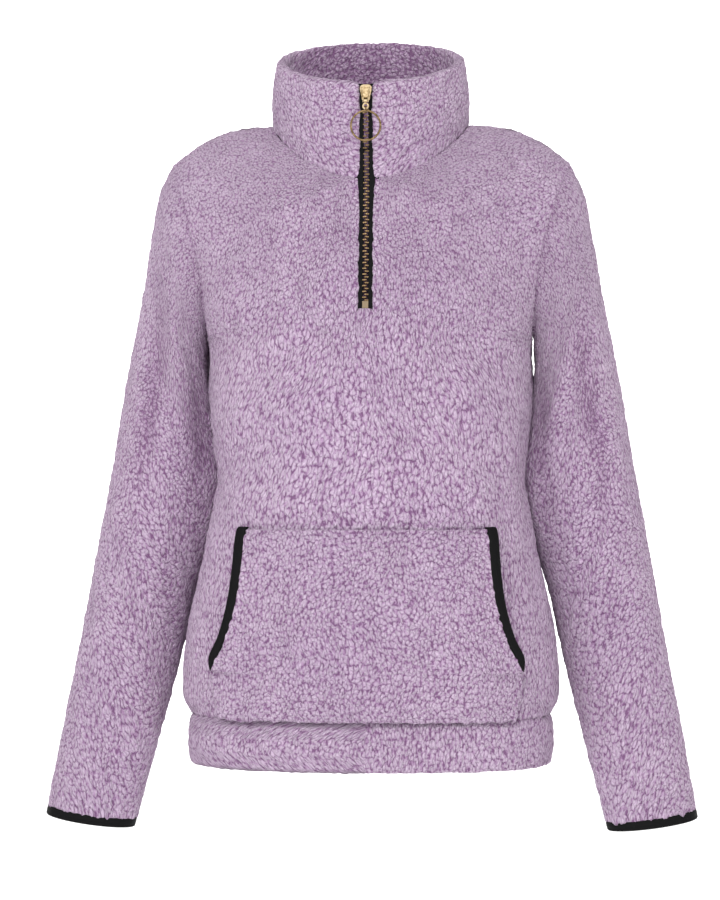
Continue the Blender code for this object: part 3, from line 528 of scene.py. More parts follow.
def pocket_lift(x, height):
    half_width = through_rows(POCKET, height.ravel())[:, 0].reshape(height.shape)
    top, low = POCKET[-1].height, POCKET[0].height
    up = np.clip((height - low) / (top - low), 0.0, 1.0)
    side = np.minimum(1.0, np.abs(x) / half_width)
    loose = POCKET_FULLNESS * np.sqrt(np.sin(math.pi * up).clip(0.0))
    mouth = np.clip((height - POCKET_SIDE_SEAM_TOP) / (top - POCKET_SIDE_SEAM_TOP), 0.0, 1.0)
    gape = np.sqrt(np.sin(math.pi * mouth).clip(0.0))
    above = loose + (POCKET_GAPE - POCKET_FULLNESS) * gape * side**3
    below = loose * (1 - side**4)
    return POCKET_SEAT + np.where(height > POCKET_SIDE_SEAM_TOP, above, below).clip(0.0)


def zip_line():
    """The zip's path up the centre front: points and the direction out of the cloth."""
    heights = np.linspace(ZIP_BOTTOM, -NECK_FRONT.drop, 9)[:-1]
    depths = through_rows(CENTRE_FRONT, heights)[:, 0]
    line = [np.array([0.0, -d, z]) for d, z in zip(depths, heights)]
    low_angle = math.asin(SLIT_HALF_WIDTH / NECK_HALF_WIDTH)
    low = neck_point(low_angle, NECK_FRONT, -1)
    section = collar_section(low, low_angle, -1, 200)
    tall = np.argmax(section[:, 2])
    outer = section[:tall]
    line += [p * [0.0, 1.0, 1.0] for p in evenly(outer[: int(len(outer) * 0.93)], 5)]
    line = evenly(np.array(line), 26)
    for _ in range(3):
        line[1:-1] = (line[:-2] + 2 * line[1:-1] + line[2:]) / 4
    line = evenly(line, 200)
    for _ in range(60):
        line[1:-1] = (line[:-2] + 2 * line[1:-1] + line[2:]) / 4
    along = unit(np.gradient(line, axis=0))
    out = np.cross([1.0, 0.0, 0.0], along)
    return line - out * ZIP_DEPTH, out, along


# Meshes.

def link(name, mesh, materials):
    made = bpy.data.objects.new(name, mesh)
    bpy.context.scene.collection.objects.link(made)
    for material in materials:
        mesh.materials.append(material)
    mesh.shade_smooth()
    return made


class Patch:
    """A grid of outer points with its normals, the pile's height, which the pieces also lower as painted
    shade, and each side's edge.
    """

    def __init__(self, points, away_from, u, v, curl, seed):
        self.points = points
        self.normals = self.facing(away_from)
        self.u, self.v = u, v
        self.curl = curl
        self.height = pile(u, v, seed)
        self.depth = PILE_DEPTH * (1 - self.height)
        self.dip = np.zeros_like(self.depth)
        self.seed = seed
        self.shift = np.zeros_like(points)

    def facing(self, away_from):
        across = np.gradient(self.points, axis=1)
        if np.allclose(self.points[:, 0], self.points[:, -1], atol=1e-7):
            ends = self.points[:, 1] - self.points[:, -2]
            across[:, 0] = ends
            across[:, -1] = ends
        normals = unit(np.cross(across, np.gradient(self.points, axis=0)))
        return normals * np.sign((normals * (self.points - away_from)).sum(axis=-1).mean())

    def edge(self, side, rounding, reach=0.0, ragged=0.0, scale=0.008, rows=None):
        """Rounds a side of the grid inwards, and lets its pile reach past it, raggedly."""
        axis = 0 if side in ("bottom", "top") else 1
        run = run_length(self.points, axis)
        whole = np.take(run, [-1], axis=axis)
        off = run if side in ("bottom", "left") else whole - run
        ends = (0, 1) if side in ("bottom", "left") else (-1, -2)
        inward = unit(np.take(self.points, [ends[1]], axis=axis) - np.take(self.points, [ends[0]], axis=axis))
        near = np.clip(1 - off / rounding, 0.0, 1.0)
        dip = rounding * (1 - np.sqrt(1 - near**2))
        along = self.u if axis == 0 else self.v
        wavy = waves(along, along * 0.0 + 0.37, scale, self.seed + 21) * 0.6
        wavy += waves(along, along * 0.0 + 0.71, scale * 0.4, self.seed + 22) * 0.4
        close = np.clip(1 - off / (2.5 * max(rounding, 0.002)), 0.0, 1.0) ** 2
        if rows is not None:
            dip = dip * rows[:, None]
            close = close * rows[:, None]
        self.dip = self.dip + dip
        self.shift -= inward * (close * (reach + ragged * wavy))[..., None]

    def outer(self):
        dip = np.minimum(self.dip, DEEPEST)
        deep = dip + self.depth * (1 - dip / DEEPEST)
        return self.points - self.normals * deep[..., None] + self.shift


def merged(grids):
    """Numbers the grids' points so that points in one place share a number."""
    places = np.concatenate([grid.reshape(-1, 3) for grid in grids])
    _, first, number = np.unique(np.round(places * 1e5).astype(np.int64), axis=0,
                                 return_index=True, return_inverse=True)
    number = number.ravel()
    tables, start = [], 0
    for grid in grids:
        shape = grid.shape[:2]
        count = shape[0] * shape[1]
        tables.append(number[start:start + count].reshape(shape))
        start += count
    return tables, number, len(first)


def averaged(values, number, count):
    values = values.reshape(len(number), -1)
    total = np.zeros((count, values.shape[1]))
    np.add.at(total, number, values)
    return total / np.bincount(number, minlength=count)[:, None]


def quads(table):
    return np.stack([table[:-1, :-1], table[:-1, 1:], table[1:, 1:], table[1:, :-1]], axis=-1).reshape(-1, 4)


def set_curls(mesh, patches, numbers, count, extra):
    """Each face corner's place among the curls, which a seam inside a piece doesn't average."""
    corners = []
    for p in patches:
        own = np.arange(p.curl[..., 0].size).reshape(p.curl.shape[:2])
        corners.append(p.curl.reshape(-1, 2)[quads(own).ravel()])
    by_point = np.zeros((len(mesh.vertices), 2))
    by_point[:count] = averaged(np.concatenate([p.curl.reshape(-1, 2) for p in patches]), numbers, count)
    corners.append(by_point[np.concatenate([np.array(face, dtype=int) for face in extra])])
    layer = mesh.attributes.new("curl", "FLOAT2", "CORNER")
    layer.data.foreach_set("vector", np.concatenate(corners).ravel().astype(np.float32))


def side_lines(table):
    """The grid's four sides, each in the direction in which its faces run."""
    return table[0, :], table[:, -1], table[-1, ::-1], table[::-1, 0]


def shell(name, patches, thick, materials, coarse=COARSE):
    """A closed thin shell: the fine outer side, a coarse inner one, and the edges between."""
    fine_tables, fine_number, fine_count = merged([p.points for p in patches])
    outer = averaged(np.concatenate([p.outer().reshape(-1, 3) for p in patches]), fine_number, fine_count)
    height = averaged(np.concatenate([p.height.reshape(-1, 1) for p in patches]), fine_number, fine_count)
    tables, number, count = merged([p.points[::coarse, ::coarse] for p in patches])
    into = []
    for p in patches:
        inner_points = p.points + p.shift * 0.3 - p.normals * thick
        into.append(inner_points[::coarse, ::coarse].reshape(-1, 3))
    inner = averaged(np.concatenate(into), number, count)
    faces = [tuple(face) for table in fine_tables for face in quads(table).tolist()]
    outer_faces = len(faces)
    used, rims = {}, []
    for table in tables:
        for a, b, c, d in quads(table).tolist():
            faces.append((a + fine_count, d + fine_count, c + fine_count, b + fine_count))
            for edge in ((a, b), (b, c), (c, d), (d, a)):
                key = (min(edge), max(edge))
                used[key] = used.get(key, 0) + 1
    for fine, table in zip(fine_tables, tables):
        for long_line, short_line in zip(side_lines(fine), side_lines(table)):
            for k in range(len(short_line) - 1):
                a, b = int(short_line[k]), int(short_line[k + 1])
                if used.get((min(a, b), max(a, b))) == 1:
                    stretch = long_line[k * coarse:(k + 1) * coarse + 1][::-1].tolist()
                    rims.append(tuple(stretch) + (a + fine_count, b + fine_count))
    inner_faces = len(faces) - outer_faces
    faces += rims
    mesh = bpy.data.meshes.new(name)
    mesh.from_pydata(np.concatenate([outer, inner]).tolist(), [], faces)
    # The pile attribute: the pile's height together with the painted shade that the pieces put into it.
    pile_and_shade = np.concatenate([height.ravel(), np.full(count, 0.55)])
    mesh.attributes.new("pile", "FLOAT", "POINT").data.foreach_set("value", pile_and_shade.astype(np.float32))
    set_curls(mesh, patches, fine_number, fine_count, faces[outer_faces:])
    p = patches[0]
    facing = np.cross(p.points[0, 1] - p.points[0, 0], p.points[1, 0] - p.points[0, 0])
    if facing @ p.normals[0, 0] < 0:
        mesh.flip_normals()
    made = link(name, mesh, materials)
    index = np.zeros(len(faces), dtype=np.int32)
    index[outer_faces:outer_faces + inner_faces] = 1
    mesh.polygons.foreach_set("material_index", index)
    return made


def tube_faces(tables):
    """Faces of grids whose last row meets the first, with caps on the ends that stay open."""
    faces, used = [], {}
    for table in tables:
        faces += quads(table).tolist()
    for table in tables:
        faces += quads(np.stack([table[-1], table[0]])).tolist()
        for line in (table[:, 0], table[:, -1]):
            key = (min(line[0], line[1]), max(line[0], line[1]))
            used[key] = used.get(key, 0) + 1
    for table in tables:
        for line, cap in ((table[:, 0], table[:, 0]), (table[:, -1], table[::-1, -1])):
            if used[(min(line[0], line[1]), max(line[0], line[1]))] == 1:
                faces.append(cap.tolist())
    return faces


def folded(name, patches, cloth, ends, materials):
    """A piece of doubled cloth, closed at its foot and ends, with the hollow between its layers.

    ends says how many coarse columns the hollow stops short of each side of each patch.
    """
    tables, number, count = merged([p.points for p in patches])
    points = averaged(np.concatenate([p.outer().reshape(-1, 3) for p in patches]), number, count)
    height = averaged(np.concatenate([p.height.reshape(-1, 1) for p in patches]), number, count)
    faces = tube_faces(tables)
    own = sum((table.shape[0] - 1) * (table.shape[1] - 1) for table in tables)
    outer_number = number
    bare, sunk = [], []
    for p, (left, right) in zip(patches, ends):
        for values, kept in ((p.points, bare), (p.points - p.normals * cloth, sunk)):
            grid = values[::COARSE, ::COARSE][1:-1]
            kept.append(grid[:, left:grid.shape[1] - right])
    tables, number, inner_count = merged(bare)
    hollow = averaged(np.concatenate([grid.reshape(-1, 3) for grid in sunk]), number, inner_count)
    faces += [[v + count for v in face[::-1]] for face in tube_faces(tables)]
    mesh = bpy.data.meshes.new(name)
    mesh.from_pydata(np.concatenate([points, hollow]).tolist(), [], faces)
    # The pile attribute: the pile's height together with the painted shade that the pieces put into it.
    pile_and_shade = np.concatenate([height.ravel(), np.full(inner_count, 0.5)])
    mesh.attributes.new("pile", "FLOAT", "POINT").data.foreach_set("value", pile_and_shade.astype(np.float32))
    set_curls(mesh, patches, outer_number, count, faces[own:])
    p = patches[0]
    facing = np.cross(p.points[0, 1] - p.points[0, 0], p.points[1, 0] - p.points[0, 0])
    if facing @ p.normals[0, 0] < 0:
        mesh.flip_normals()
    return link(name, mesh, materials)


def mirrored(grid):
    return grid[:, ::-1] * [-1.0, 1.0, 1.0]


def copy_across(made, name):
    mesh = made.data.copy()
    mesh.name = name
    places = np.empty(len(mesh.vertices) * 3, dtype=np.float32)
    mesh.vertices.foreach_get("co", places)
    places[::3] *= -1
    mesh.vertices.foreach_set("co", places)
    mesh.flip_normals()
    other = bpy.data.objects.new(name, mesh)
    bpy.context.scene.collection.objects.link(other)
    return other


def swept(name, sections, materials, closed=False):
    """A solid through closed sections, with capped ends or joined into a ring."""
    sections = np.array(sections)
    rings, sides = sections.shape[:2]
    table = np.arange(rings * sides).reshape(rings, sides)
    table = np.concatenate([table, table[:, :1]], axis=1)
    if closed:
        table = np.concatenate([table, table[:1]], axis=0)
    faces = quads(table).tolist()
    if not closed:
        faces.append(table[0, :-1][::-1].tolist())
        faces.append(table[-1, :-1].tolist())
    mesh = bpy.data.meshes.new(name)
    mesh.from_pydata(sections.reshape(-1, 3).tolist(), [], faces)
    made = link(name, mesh, materials)
    return made


# Materials.

def new_material(name):
    made = bpy.data.materials.new(name)
    made.use_nodes = True
    nodes = made.node_tree.nodes
    return made, nodes, made.node_tree.links, nodes["Principled BSDF"]


def add_node(nodes, kind, **values):
    node = nodes.new(kind)
    for key, value in values.items():
        if key in node.inputs:
            node.inputs[key].default_value = value
        else:
            setattr(node, key, value)
    return node


def ramp(nodes, stops):
    node = nodes.new("ShaderNodeValToRGB")
    elements = node.color_ramp.elements
    while len(elements) < len(stops):
        elements.new(0.5)
    for element, (place, colour) in zip(elements, stops):
        element.position = place
        element.color = (*colour, 1.0)
    return node


def plush_material():
    """Lilac pile in soft rounded curls, with painted shade between them and painted light on their tops, and
    fine fibres on the curls.
    """
    made, nodes, links, shader = new_material("plush")
    place = add_node(nodes, "ShaderNodeAttribute", attribute_name="curl")
    bend = add_node(nodes, "ShaderNodeTexNoise", noise_dimensions="2D", Scale=0.9, Detail=2.0, Roughness=0.55)
    centred = add_node(nodes, "ShaderNodeVectorMath", operation="SUBTRACT")
    centred.inputs[1].default_value = (0.5, 0.5, 0.5)
    much = add_node(nodes, "ShaderNodeVectorMath", operation="SCALE")
    much.inputs["Scale"].default_value = 1.15
    moved = add_node(nodes, "ShaderNodeVectorMath", operation="ADD")
    links.new(place.outputs["Vector"], bend.inputs["Vector"])
    links.new(bend.outputs["Color"], centred.inputs[0])
    links.new(centred.outputs[0], much.inputs[0])
    links.new(place.outputs["Vector"], moved.inputs[0])
    links.new(much.outputs[0], moved.inputs[1])
    domes = []
    for scale, soft, low, high in ((1.0, 0.16, 0.74, 0.06), (1.9, 0.20, 0.72, 0.10)):
        cells = add_node(nodes, "ShaderNodeTexVoronoi", voronoi_dimensions="2D",
                         feature="SMOOTH_F1", Scale=scale, Smoothness=soft)
        dome = add_node(nodes, "ShaderNodeMapRange", interpolation_type="SMOOTHSTEP")
        dome.inputs["From Min"].default_value = low
        dome.inputs["From Max"].default_value = high
        links.new(moved.outputs[0], cells.inputs["Vector"])
        links.new(cells.outputs["Distance"], dome.inputs["Value"])
        domes.append(dome)
    # The creases between the curls sink in the bump and, as painted shade, darken the colour.
    edges = add_node(nodes, "ShaderNodeTexVoronoi", voronoi_dimensions="2D",
                     feature="DISTANCE_TO_EDGE", Scale=1.0)
    crease = add_node(nodes, "ShaderNodeMapRange", interpolation_type="SMOOTHSTEP")
    crease.inputs["From Max"].default_value = 0.17
    crease.inputs["To Min"].default_value = 0.74
    links.new(moved.outputs[0], edges.inputs["Vector"])
    links.new(edges.outputs["Distance"], crease.inputs["Value"])
    wisps = add_node(nodes, "ShaderNodeTexNoise", noise_dimensions="2D", Scale=3.4, Detail=3.0, Roughness=0.7)
    links.new(moved.outputs[0], wisps.inputs["Vector"])
    small = add_node(nodes, "ShaderNodeMath", operation="MULTIPLY")
    small.inputs[1].default_value = 0.34
    links.new(domes[1].outputs[0], small.inputs[0])
    curl = add_node(nodes, "ShaderNodeMath", operation="MULTIPLY_ADD")
    curl.inputs[1].default_value = 0.66
    links.new(domes[0].outputs[0], curl.inputs[0])
    links.new(small.outputs[0], curl.inputs[2])
    rough_curl = add_node(nodes, "ShaderNodeMath", operation="MULTIPLY_ADD")
    rough_curl.inputs[1].default_value = 0.26
    links.new(wisps.outputs["Fac"], rough_curl.inputs[0])
    links.new(curl.outputs[0], rough_curl.inputs[2])
    height = add_node(nodes, "ShaderNodeMath", operation="MULTIPLY")
    links.new(rough_curl.outputs[0], height.inputs[0])
    links.new(crease.outputs[0], height.inputs[1])
    # Painted light and shade: the colour is lighter on the pile's swell and darker where it sinks, and darker
    # still where the pieces put painted shade into the pile attribute.
    swell = add_node(nodes, "ShaderNodeAttribute", attribute_name="pile")
    lit = add_node(nodes, "ShaderNodeMapRange")
    lit.inputs["From Min"].default_value = -1.0
    lit.inputs["To Min"].default_value = 0.30
    lit.inputs["To Max"].default_value = 1.12
    links.new(swell.outputs["Fac"], lit.inputs["Value"])
    shade = add_node(nodes, "ShaderNodeMath", operation="MULTIPLY")
    links.new(height.outputs[0], shade.inputs[0])
    links.new(lit.outputs[0], shade.inputs[1])
    # Painted light and shade: the colour runs from dark in the creases between the curls to light on their
    # tops.
    colours = ramp(nodes, (
        (0.14, (0.190, 0.090, 0.195)),
        (0.32, (0.370, 0.235, 0.380)),
        (0.54, (0.525, 0.385, 0.535)),
        (0.92, (0.630, 0.500, 0.640)),
    ))
    links.new(shade.outputs[0], colours.inputs[0])
    body = add_node(nodes, "ShaderNodeTexCoord")
    patchy = add_node(nodes, "ShaderNodeTexNoise", Scale=14.0, Detail=2.0)
    tint = ramp(nodes, ((0.30, (0.93, 0.91, 0.94)), (0.70, (1.0, 1.0, 1.0))))
    both = add_node(nodes, "ShaderNodeMix", data_type="RGBA", blend_type="MULTIPLY")
    both.inputs[0].default_value = 1.0
    links.new(body.outputs["Object"], patchy.inputs["Vector"])
    links.new(patchy.outputs["Fac"], tint.inputs[0])
    links.new(colours.outputs[0], both.inputs[6])
    links.new(tint.outputs[0], both.inputs[7])
    links.new(both.outputs[2], shader.inputs["Base Color"])
    fibres = add_node(nodes, "ShaderNodeTexNoise", Scale=950.0, Detail=2.0, Roughness=0.65, Distortion=0.8)
    links.new(body.outputs["Object"], fibres.inputs["Vector"])
    curls = add_node(nodes, "ShaderNodeBump", Strength=1.0, Distance=0.0026)
    fine = add_node(nodes, "ShaderNodeBump", Strength=0.45, Distance=0.0005)
    links.new(height.outputs[0], curls.inputs["Height"])
    links.new(fibres.outputs["Fac"], fine.inputs["Height"])
    links.new(curls.outputs[0], fine.inputs["Normal"])
    links.new(fine.outputs[0], shader.inputs["Normal"])
    shader.inputs["Roughness"].default_value = 0.95
    shader.inputs["Specular IOR Level"].default_value = 0.15
    shader.inputs["Sheen Weight"].default_value = 0.50
    shader.inputs["Sheen Roughness"].default_value = 0.45
    shader.inputs["Sheen Tint"].default_value = (0.94, 0.80, 0.94, 1.0)
    return made


def backing_material():
    """The smooth knitted back of the plush, which shows inside."""
    made, nodes, links, shader = new_material("plush_back")
    place = add_node(nodes, "ShaderNodeTexCoord")
    loops = add_node(nodes, "ShaderNodeTexWave", wave_type="BANDS", bands_direction="X",
                     Scale=260.0, Distortion=1.5, Detail=1.0)
    loops.inputs["Detail Scale"].default_value = 2.0
    rows = add_node(nodes, "ShaderNodeTexWave", wave_type="BANDS", bands_direction="Z",
                    Scale=200.0, Distortion=1.0, Detail=1.0)
    mix = add_node(nodes, "ShaderNodeMath", operation="MULTIPLY")
    colours = ramp(nodes, ((0.0, (0.30, 0.19, 0.32)), (1.0, (0.47, 0.33, 0.50))))
    bump = add_node(nodes, "ShaderNodeBump", Strength=0.5, Distance=0.0004)
    for wave, slot in ((loops, 0), (rows, 1)):
        links.new(place.outputs["Object"], wave.inputs["Vector"])
        links.new(wave.outputs["Fac"], mix.inputs[slot])
    links.new(mix.outputs[0], colours.inputs[0])
    links.new(mix.outputs[0], bump.inputs["Height"])
    links.new(colours.outputs[0], shader.inputs["Base Color"])
    links.new(bump.outputs[0], shader.inputs["Normal"])
    shader.inputs["Roughness"].default_value = 0.9
    shader.inputs["Sheen Weight"].default_value = 0.25
    return made


def tape_material(name, scale, light):
    """Black tape with a fine rib across it."""
    made, nodes, links, shader = new_material(name)
    place = add_node(nodes, "ShaderNodeTexCoord")
    ribs = add_node(nodes, "ShaderNodeTexWave", wave_type="BANDS", bands_direction="Z",
                    Scale=scale, Distortion=0.6)
    grain = add_node(nodes, "ShaderNodeTexNoise", Scale=900.0, Detail=2.0)
    colours = ramp(nodes, ((0.0, (0.0020, 0.0020, 0.0023)), (1.0, (light, light, light * 1.08))))
    bump = add_node(nodes, "ShaderNodeBump", Strength=0.45, Distance=0.0003)
    rough = add_node(nodes, "ShaderNodeMapRange")
    rough.inputs["To Min"].default_value = 0.55
    rough.inputs["To Max"].default_value = 0.8
    mix = add_node(nodes, "ShaderNodeMath", operation="ADD")
    links.new(place.outputs["Object"], ribs.inputs["Vector"])
    links.new(place.outputs["Object"], grain.inputs["Vector"])
    links.new(ribs.outputs["Fac"], mix.inputs[0])
    links.new(grain.outputs["Fac"], mix.inputs[1])
    links.new(mix.outputs[0], bump.inputs["Height"])
    links.new(grain.outputs["Fac"], colours.inputs[0])
    links.new(grain.outputs["Fac"], rough.inputs["Value"])
    links.new(rough.outputs[0], shader.inputs["Roughness"])
    links.new(colours.outputs[0], shader.inputs["Base Color"])
    links.new(bump.outputs[0], shader.inputs["Normal"])
    shader.inputs["Specular IOR Level"].default_value = 0.12
    return made


def brass_material(name, tones):
    """Antique brass: brown in the lows, brighter where it is rubbed."""
    made, nodes, links, shader = new_material(name)
    place = add_node(nodes, "ShaderNodeTexCoord")
    worn = add_node(nodes, "ShaderNodeTexNoise", Scale=420.0, Detail=3.0)
    rubbed = add_node(nodes, "ShaderNodeNewGeometry")
    colours = ramp(nodes, tuple(zip((0.58, 0.665, 0.75), tones)))
    add = add_node(nodes, "ShaderNodeMath", operation="MULTIPLY_ADD")
    add.inputs[1].default_value = 0.35
    spread = add_node(nodes, "ShaderNodeMapRange")
    spread.inputs["To Min"].default_value = 0.42
    spread.inputs["To Max"].default_value = 0.58
    scratch = add_node(nodes, "ShaderNodeBump", Strength=0.15, Distance=0.0001)
    links.new(place.outputs["Object"], worn.inputs["Vector"])
    links.new(worn.outputs["Fac"], add.inputs[0])
    links.new(rubbed.outputs["Pointiness"], add.inputs[2])
    links.new(add.outputs[0], colours.inputs[0])
    links.new(worn.outputs["Fac"], spread.inputs["Value"])
    links.new(spread.outputs[0], shader.inputs["Roughness"])
    links.new(worn.outputs["Fac"], scratch.inputs["Height"])
    links.new(scratch.outputs[0], shader.inputs["Normal"])
    links.new(colours.outputs[0], shader.inputs["Base Color"])
    shader.inputs["Metallic"].default_value = 1.0
    return made


PLUSH_LOOK = plush_material()
BACK_LOOK = backing_material()
BINDING_LOOK = tape_material("binding", 300.0, 0.0055)
TAPE_LOOK = tape_material("zip_tape", 420.0, 0.0045)
BRASS_LOOK = brass_material("brass", ((0.11, 0.07, 0.03), (0.27, 0.185, 0.09), (0.60, 0.47, 0.29)))
# A darker copy of the brass, for the bottom stop.
DARKER_BRASS_LOOK = brass_material("brass_darker", ((0.05, 0.035, 0.018), (0.115, 0.085, 0.05), (0.22, 0.17, 0.11)))
TEETH_LOOK = brass_material("brass_teeth", ((0.24, 0.16, 0.08), (0.44, 0.32, 0.17), (0.70, 0.56, 0.33)))


# The plush panels.

def body_panel(name, side, seed):
    half, strip = panel_grids(side)
    across = run_length(half, 1) + half[:, :1, 0]
    armpit_row = np.argmin(np.abs(strip[:, -1, 2] - ARMPIT[2]))
    patches = []
    sides = ((mirrored(half), -across[:, ::-1], -1), (strip, strip[..., 0], 0), (half, across, 1))
    for grid, u, sign in sides:
        up = run_length(grid, 0)
        v = up - up[armpit_row][None, :] + ARMPIT[2]
        spread = 0.022 * np.tanh(u / 0.075) * np.tanh((v + 0.27) / 0.060)
        curl = curl_places(u + spread, v, CURL_WIDTH, BODY_CURLS, 0.0, seed)
        patch = Patch(grid, grid * [0.0, 0.0, 1.0], u, v, curl, seed)
        patch.edge("bottom", 0.0014, reach=0.0024, ragged=0.0036, scale=0.008)
        patch.edge("top", 0.0004, reach=0.0022, ragged=0.0005)
        if sign:
            patch.edge("right" if sign > 0 else "left", 0.0010, reach=0.0012, ragged=0.0006)
        if sign:
            off = np.abs(u[:, -1 if sign > 0 else 0][:, None] - u)
            # Painted shade: the pile is darker near the armhole seam.
            armhole = np.clip((v - ARMPIT[2] + 0.02) / 0.03, 0.0, 1.0)
            patch.height = patch.height - 0.45 * armhole * np.clip(1 - off / 0.014, 0.0, 1.0) ** 2
            # The pile bridges the narrow gap between the body's side and the sleeve.
            beside = np.clip((v + 0.43) / 0.06, 0.0, 1.0) * np.clip((-0.232 - v) / 0.03, 0.0, 1.0)
            fuller = BODY_BRIDGE * beside * np.exp(-(off / 0.022) ** 2)
            patch.shift = patch.shift + patch.normals * fuller[..., None]
        if side < 0 and sign:
            slit = (np.arange(len(half)) >= len(strip)).astype(float)
            patch.edge("left" if sign > 0 else "right", 0.0034, reach=0.0016, ragged=0.0017, rows=slit)
            x, z = np.abs(grid[..., 0]), grid[..., 2]
            there = np.clip((z - ZIP_BOTTOM) / 0.012, 0.0, 1.0) * np.clip((-0.050 - z) / 0.015, 0.0, 1.0)
            patch.dip = patch.dip + 0.0016 * there * np.exp(-((x - 0.0125) / 0.0014) ** 2)
        patches.append(patch)
    made = shell(name, patches, PLUSH - 0.0008, (PLUSH_LOOK, BACK_LOOK))
    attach(made, "garment")
    return made


def sleeves():
    grid = sleeve_grid()
    middle = grid.mean(axis=1, keepdims=True)
    around = run_length(grid, 1)
    u = around - around[:, -1:] / 2
    v = -run_length(grid, 0)
    along = np.linspace(0.0, 1.0, len(grid))[:, None]
    degrees = np.linspace(0.0, 360.0, grid.shape[1])[None, :]
    # Painted shade: the pile is darkened along the sleeve's folds, on its inner side beside the body and
    # along its armhole seam.
    folds = np.zeros(grid.shape[:2])
    for fold in SLEEVE_TROUGHS:
        length = np.clip((along - fold.start + 0.06) / 0.14, 0.0, 1.0)
        length = length * np.clip((fold.end + 0.10 - along) / 0.26, 0.0, 1.0)
        folds += length * np.exp(-((degrees - fold.around - 9.0 * (along - 0.3)) / (0.95 * fold.width)) ** 2)
    from_armpit = np.minimum(degrees, 360.0 - degrees)
    inside = np.clip(1.25 - 1.6 * along, 0.0, 1.0) * np.exp(-(from_armpit / 26.0) ** 2)
    seam = np.exp(-(v / 0.010) ** 2)
    shade = FOLD_SHADE * folds + INSIDE_SHADE * inside + SEAM_SHADE * seam
    deep = FOLD_DEPTH * folds
    # The pile bridges the narrow gap between the sleeve and the body's side.
    beside = np.clip((along - 0.05) / 0.10, 0.0, 1.0) * np.clip((0.62 - along) / 0.12, 0.0, 1.0)
    close = SLEEVE_BRIDGE * beside * np.exp(-(from_armpit / 38.0) ** 2)
    made = []
    for name, seed in (("fur_sleeve_right", 401), ("fur_sleeve_left", 551)):
        curl = curl_places(u, v, 0.0026, SLEEVE_CURLS, 0.42, seed)
        patch = Patch(grid, middle, u, v, curl, seed)
        # The painted shade lowers the pile's height, which darkens its colour.
        patch.height = patch.height - shade
        patch.dip = patch.dip + deep
        patch.shift = patch.shift + patch.normals * close[..., None]
        patch.edge("bottom", 0.0014, reach=0.0009, ragged=0.0006)
        patch.edge("top", 0.0007, reach=0.0020, ragged=0.0034, scale=0.0045)
        patch.edge("left", 0.0010)
        patch.edge("right", 0.0010)
        piece = shell(name, [patch], PLUSH - 0.0008, (PLUSH_LOOK, BACK_LOOK))
        if name.endswith("left"):
            places = np.empty(len(piece.data.vertices) * 3, dtype=np.float32)
            piece.data.vertices.foreach_get("co", places)
            places[::3] *= -1
            piece.data.vertices.foreach_set("co", places)
            piece.data.flip_normals()
        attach(piece, "garment")
        made.append(piece)
    return made, grid


def collar():
    rows = whole_steps(0.205, FINE_SMALL)
    columns = whole_steps(0.265, FINE_SMALL)
    half = np.array([collar_section(*station, rows) for station in collar_stations(columns)])
    half = half.transpose(1, 0, 2)
    half[:, -1, 0] = 0.0
    middle = (half[:1] + half[-1:]) / 2 * np.ones_like(half)
    up = run_length(half, 0)
    wide = run_length(half, 1)
    patches = []
    for grid, sign in ((half, 1), (mirrored(half), -1)):
        to_back = wide[:, -1:] - wide
        u = -to_back if sign > 0 else to_back[:, ::-1]
        centre = middle if sign > 0 else mirrored(middle)
        core = np.stack([centre[..., 0], centre[..., 1], grid[..., 2]], axis=-1)
        v = up if sign > 0 else up[:, ::-1]
        curl = curl_places(u, v, 0.0037, ((0.0, 0.0038), (0.2, 0.0038)), 0.0, 733)
        patch = Patch(grid, core, u, v, curl, 733)
        zip_side = "left" if sign > 0 else "right"
        patch.edge("bottom", 0.0005, reach=0.0026, ragged=0.0010)
        patch.edge("top", 0.0012)
        patch.edge(zip_side, 0.0034, reach=0.0016, ragged=0.0017)
        off = wide if sign > 0 else wide[:, ::-1]
        tall = np.clip((grid[..., 2] - 0.015) / 0.02, 0.0, 1.0)
        # Painted shade: the pile is darker on the collar's inner side, past its fold.
        patch.height = patch.height - 0.95 * np.clip((v - 0.096) / 0.012, 0.0, 1.0)
        patch.shift[..., 2] -= 0.0030 * np.clip(1 - off / 0.010, 0.0, 1.0) ** 2 * tall
        patches.append(patch)
    made = folded("fur_collar", patches, 0.0045, ((1, 0), (0, 1)), (PLUSH_LOOK,))
    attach(made, "garment")
    return made


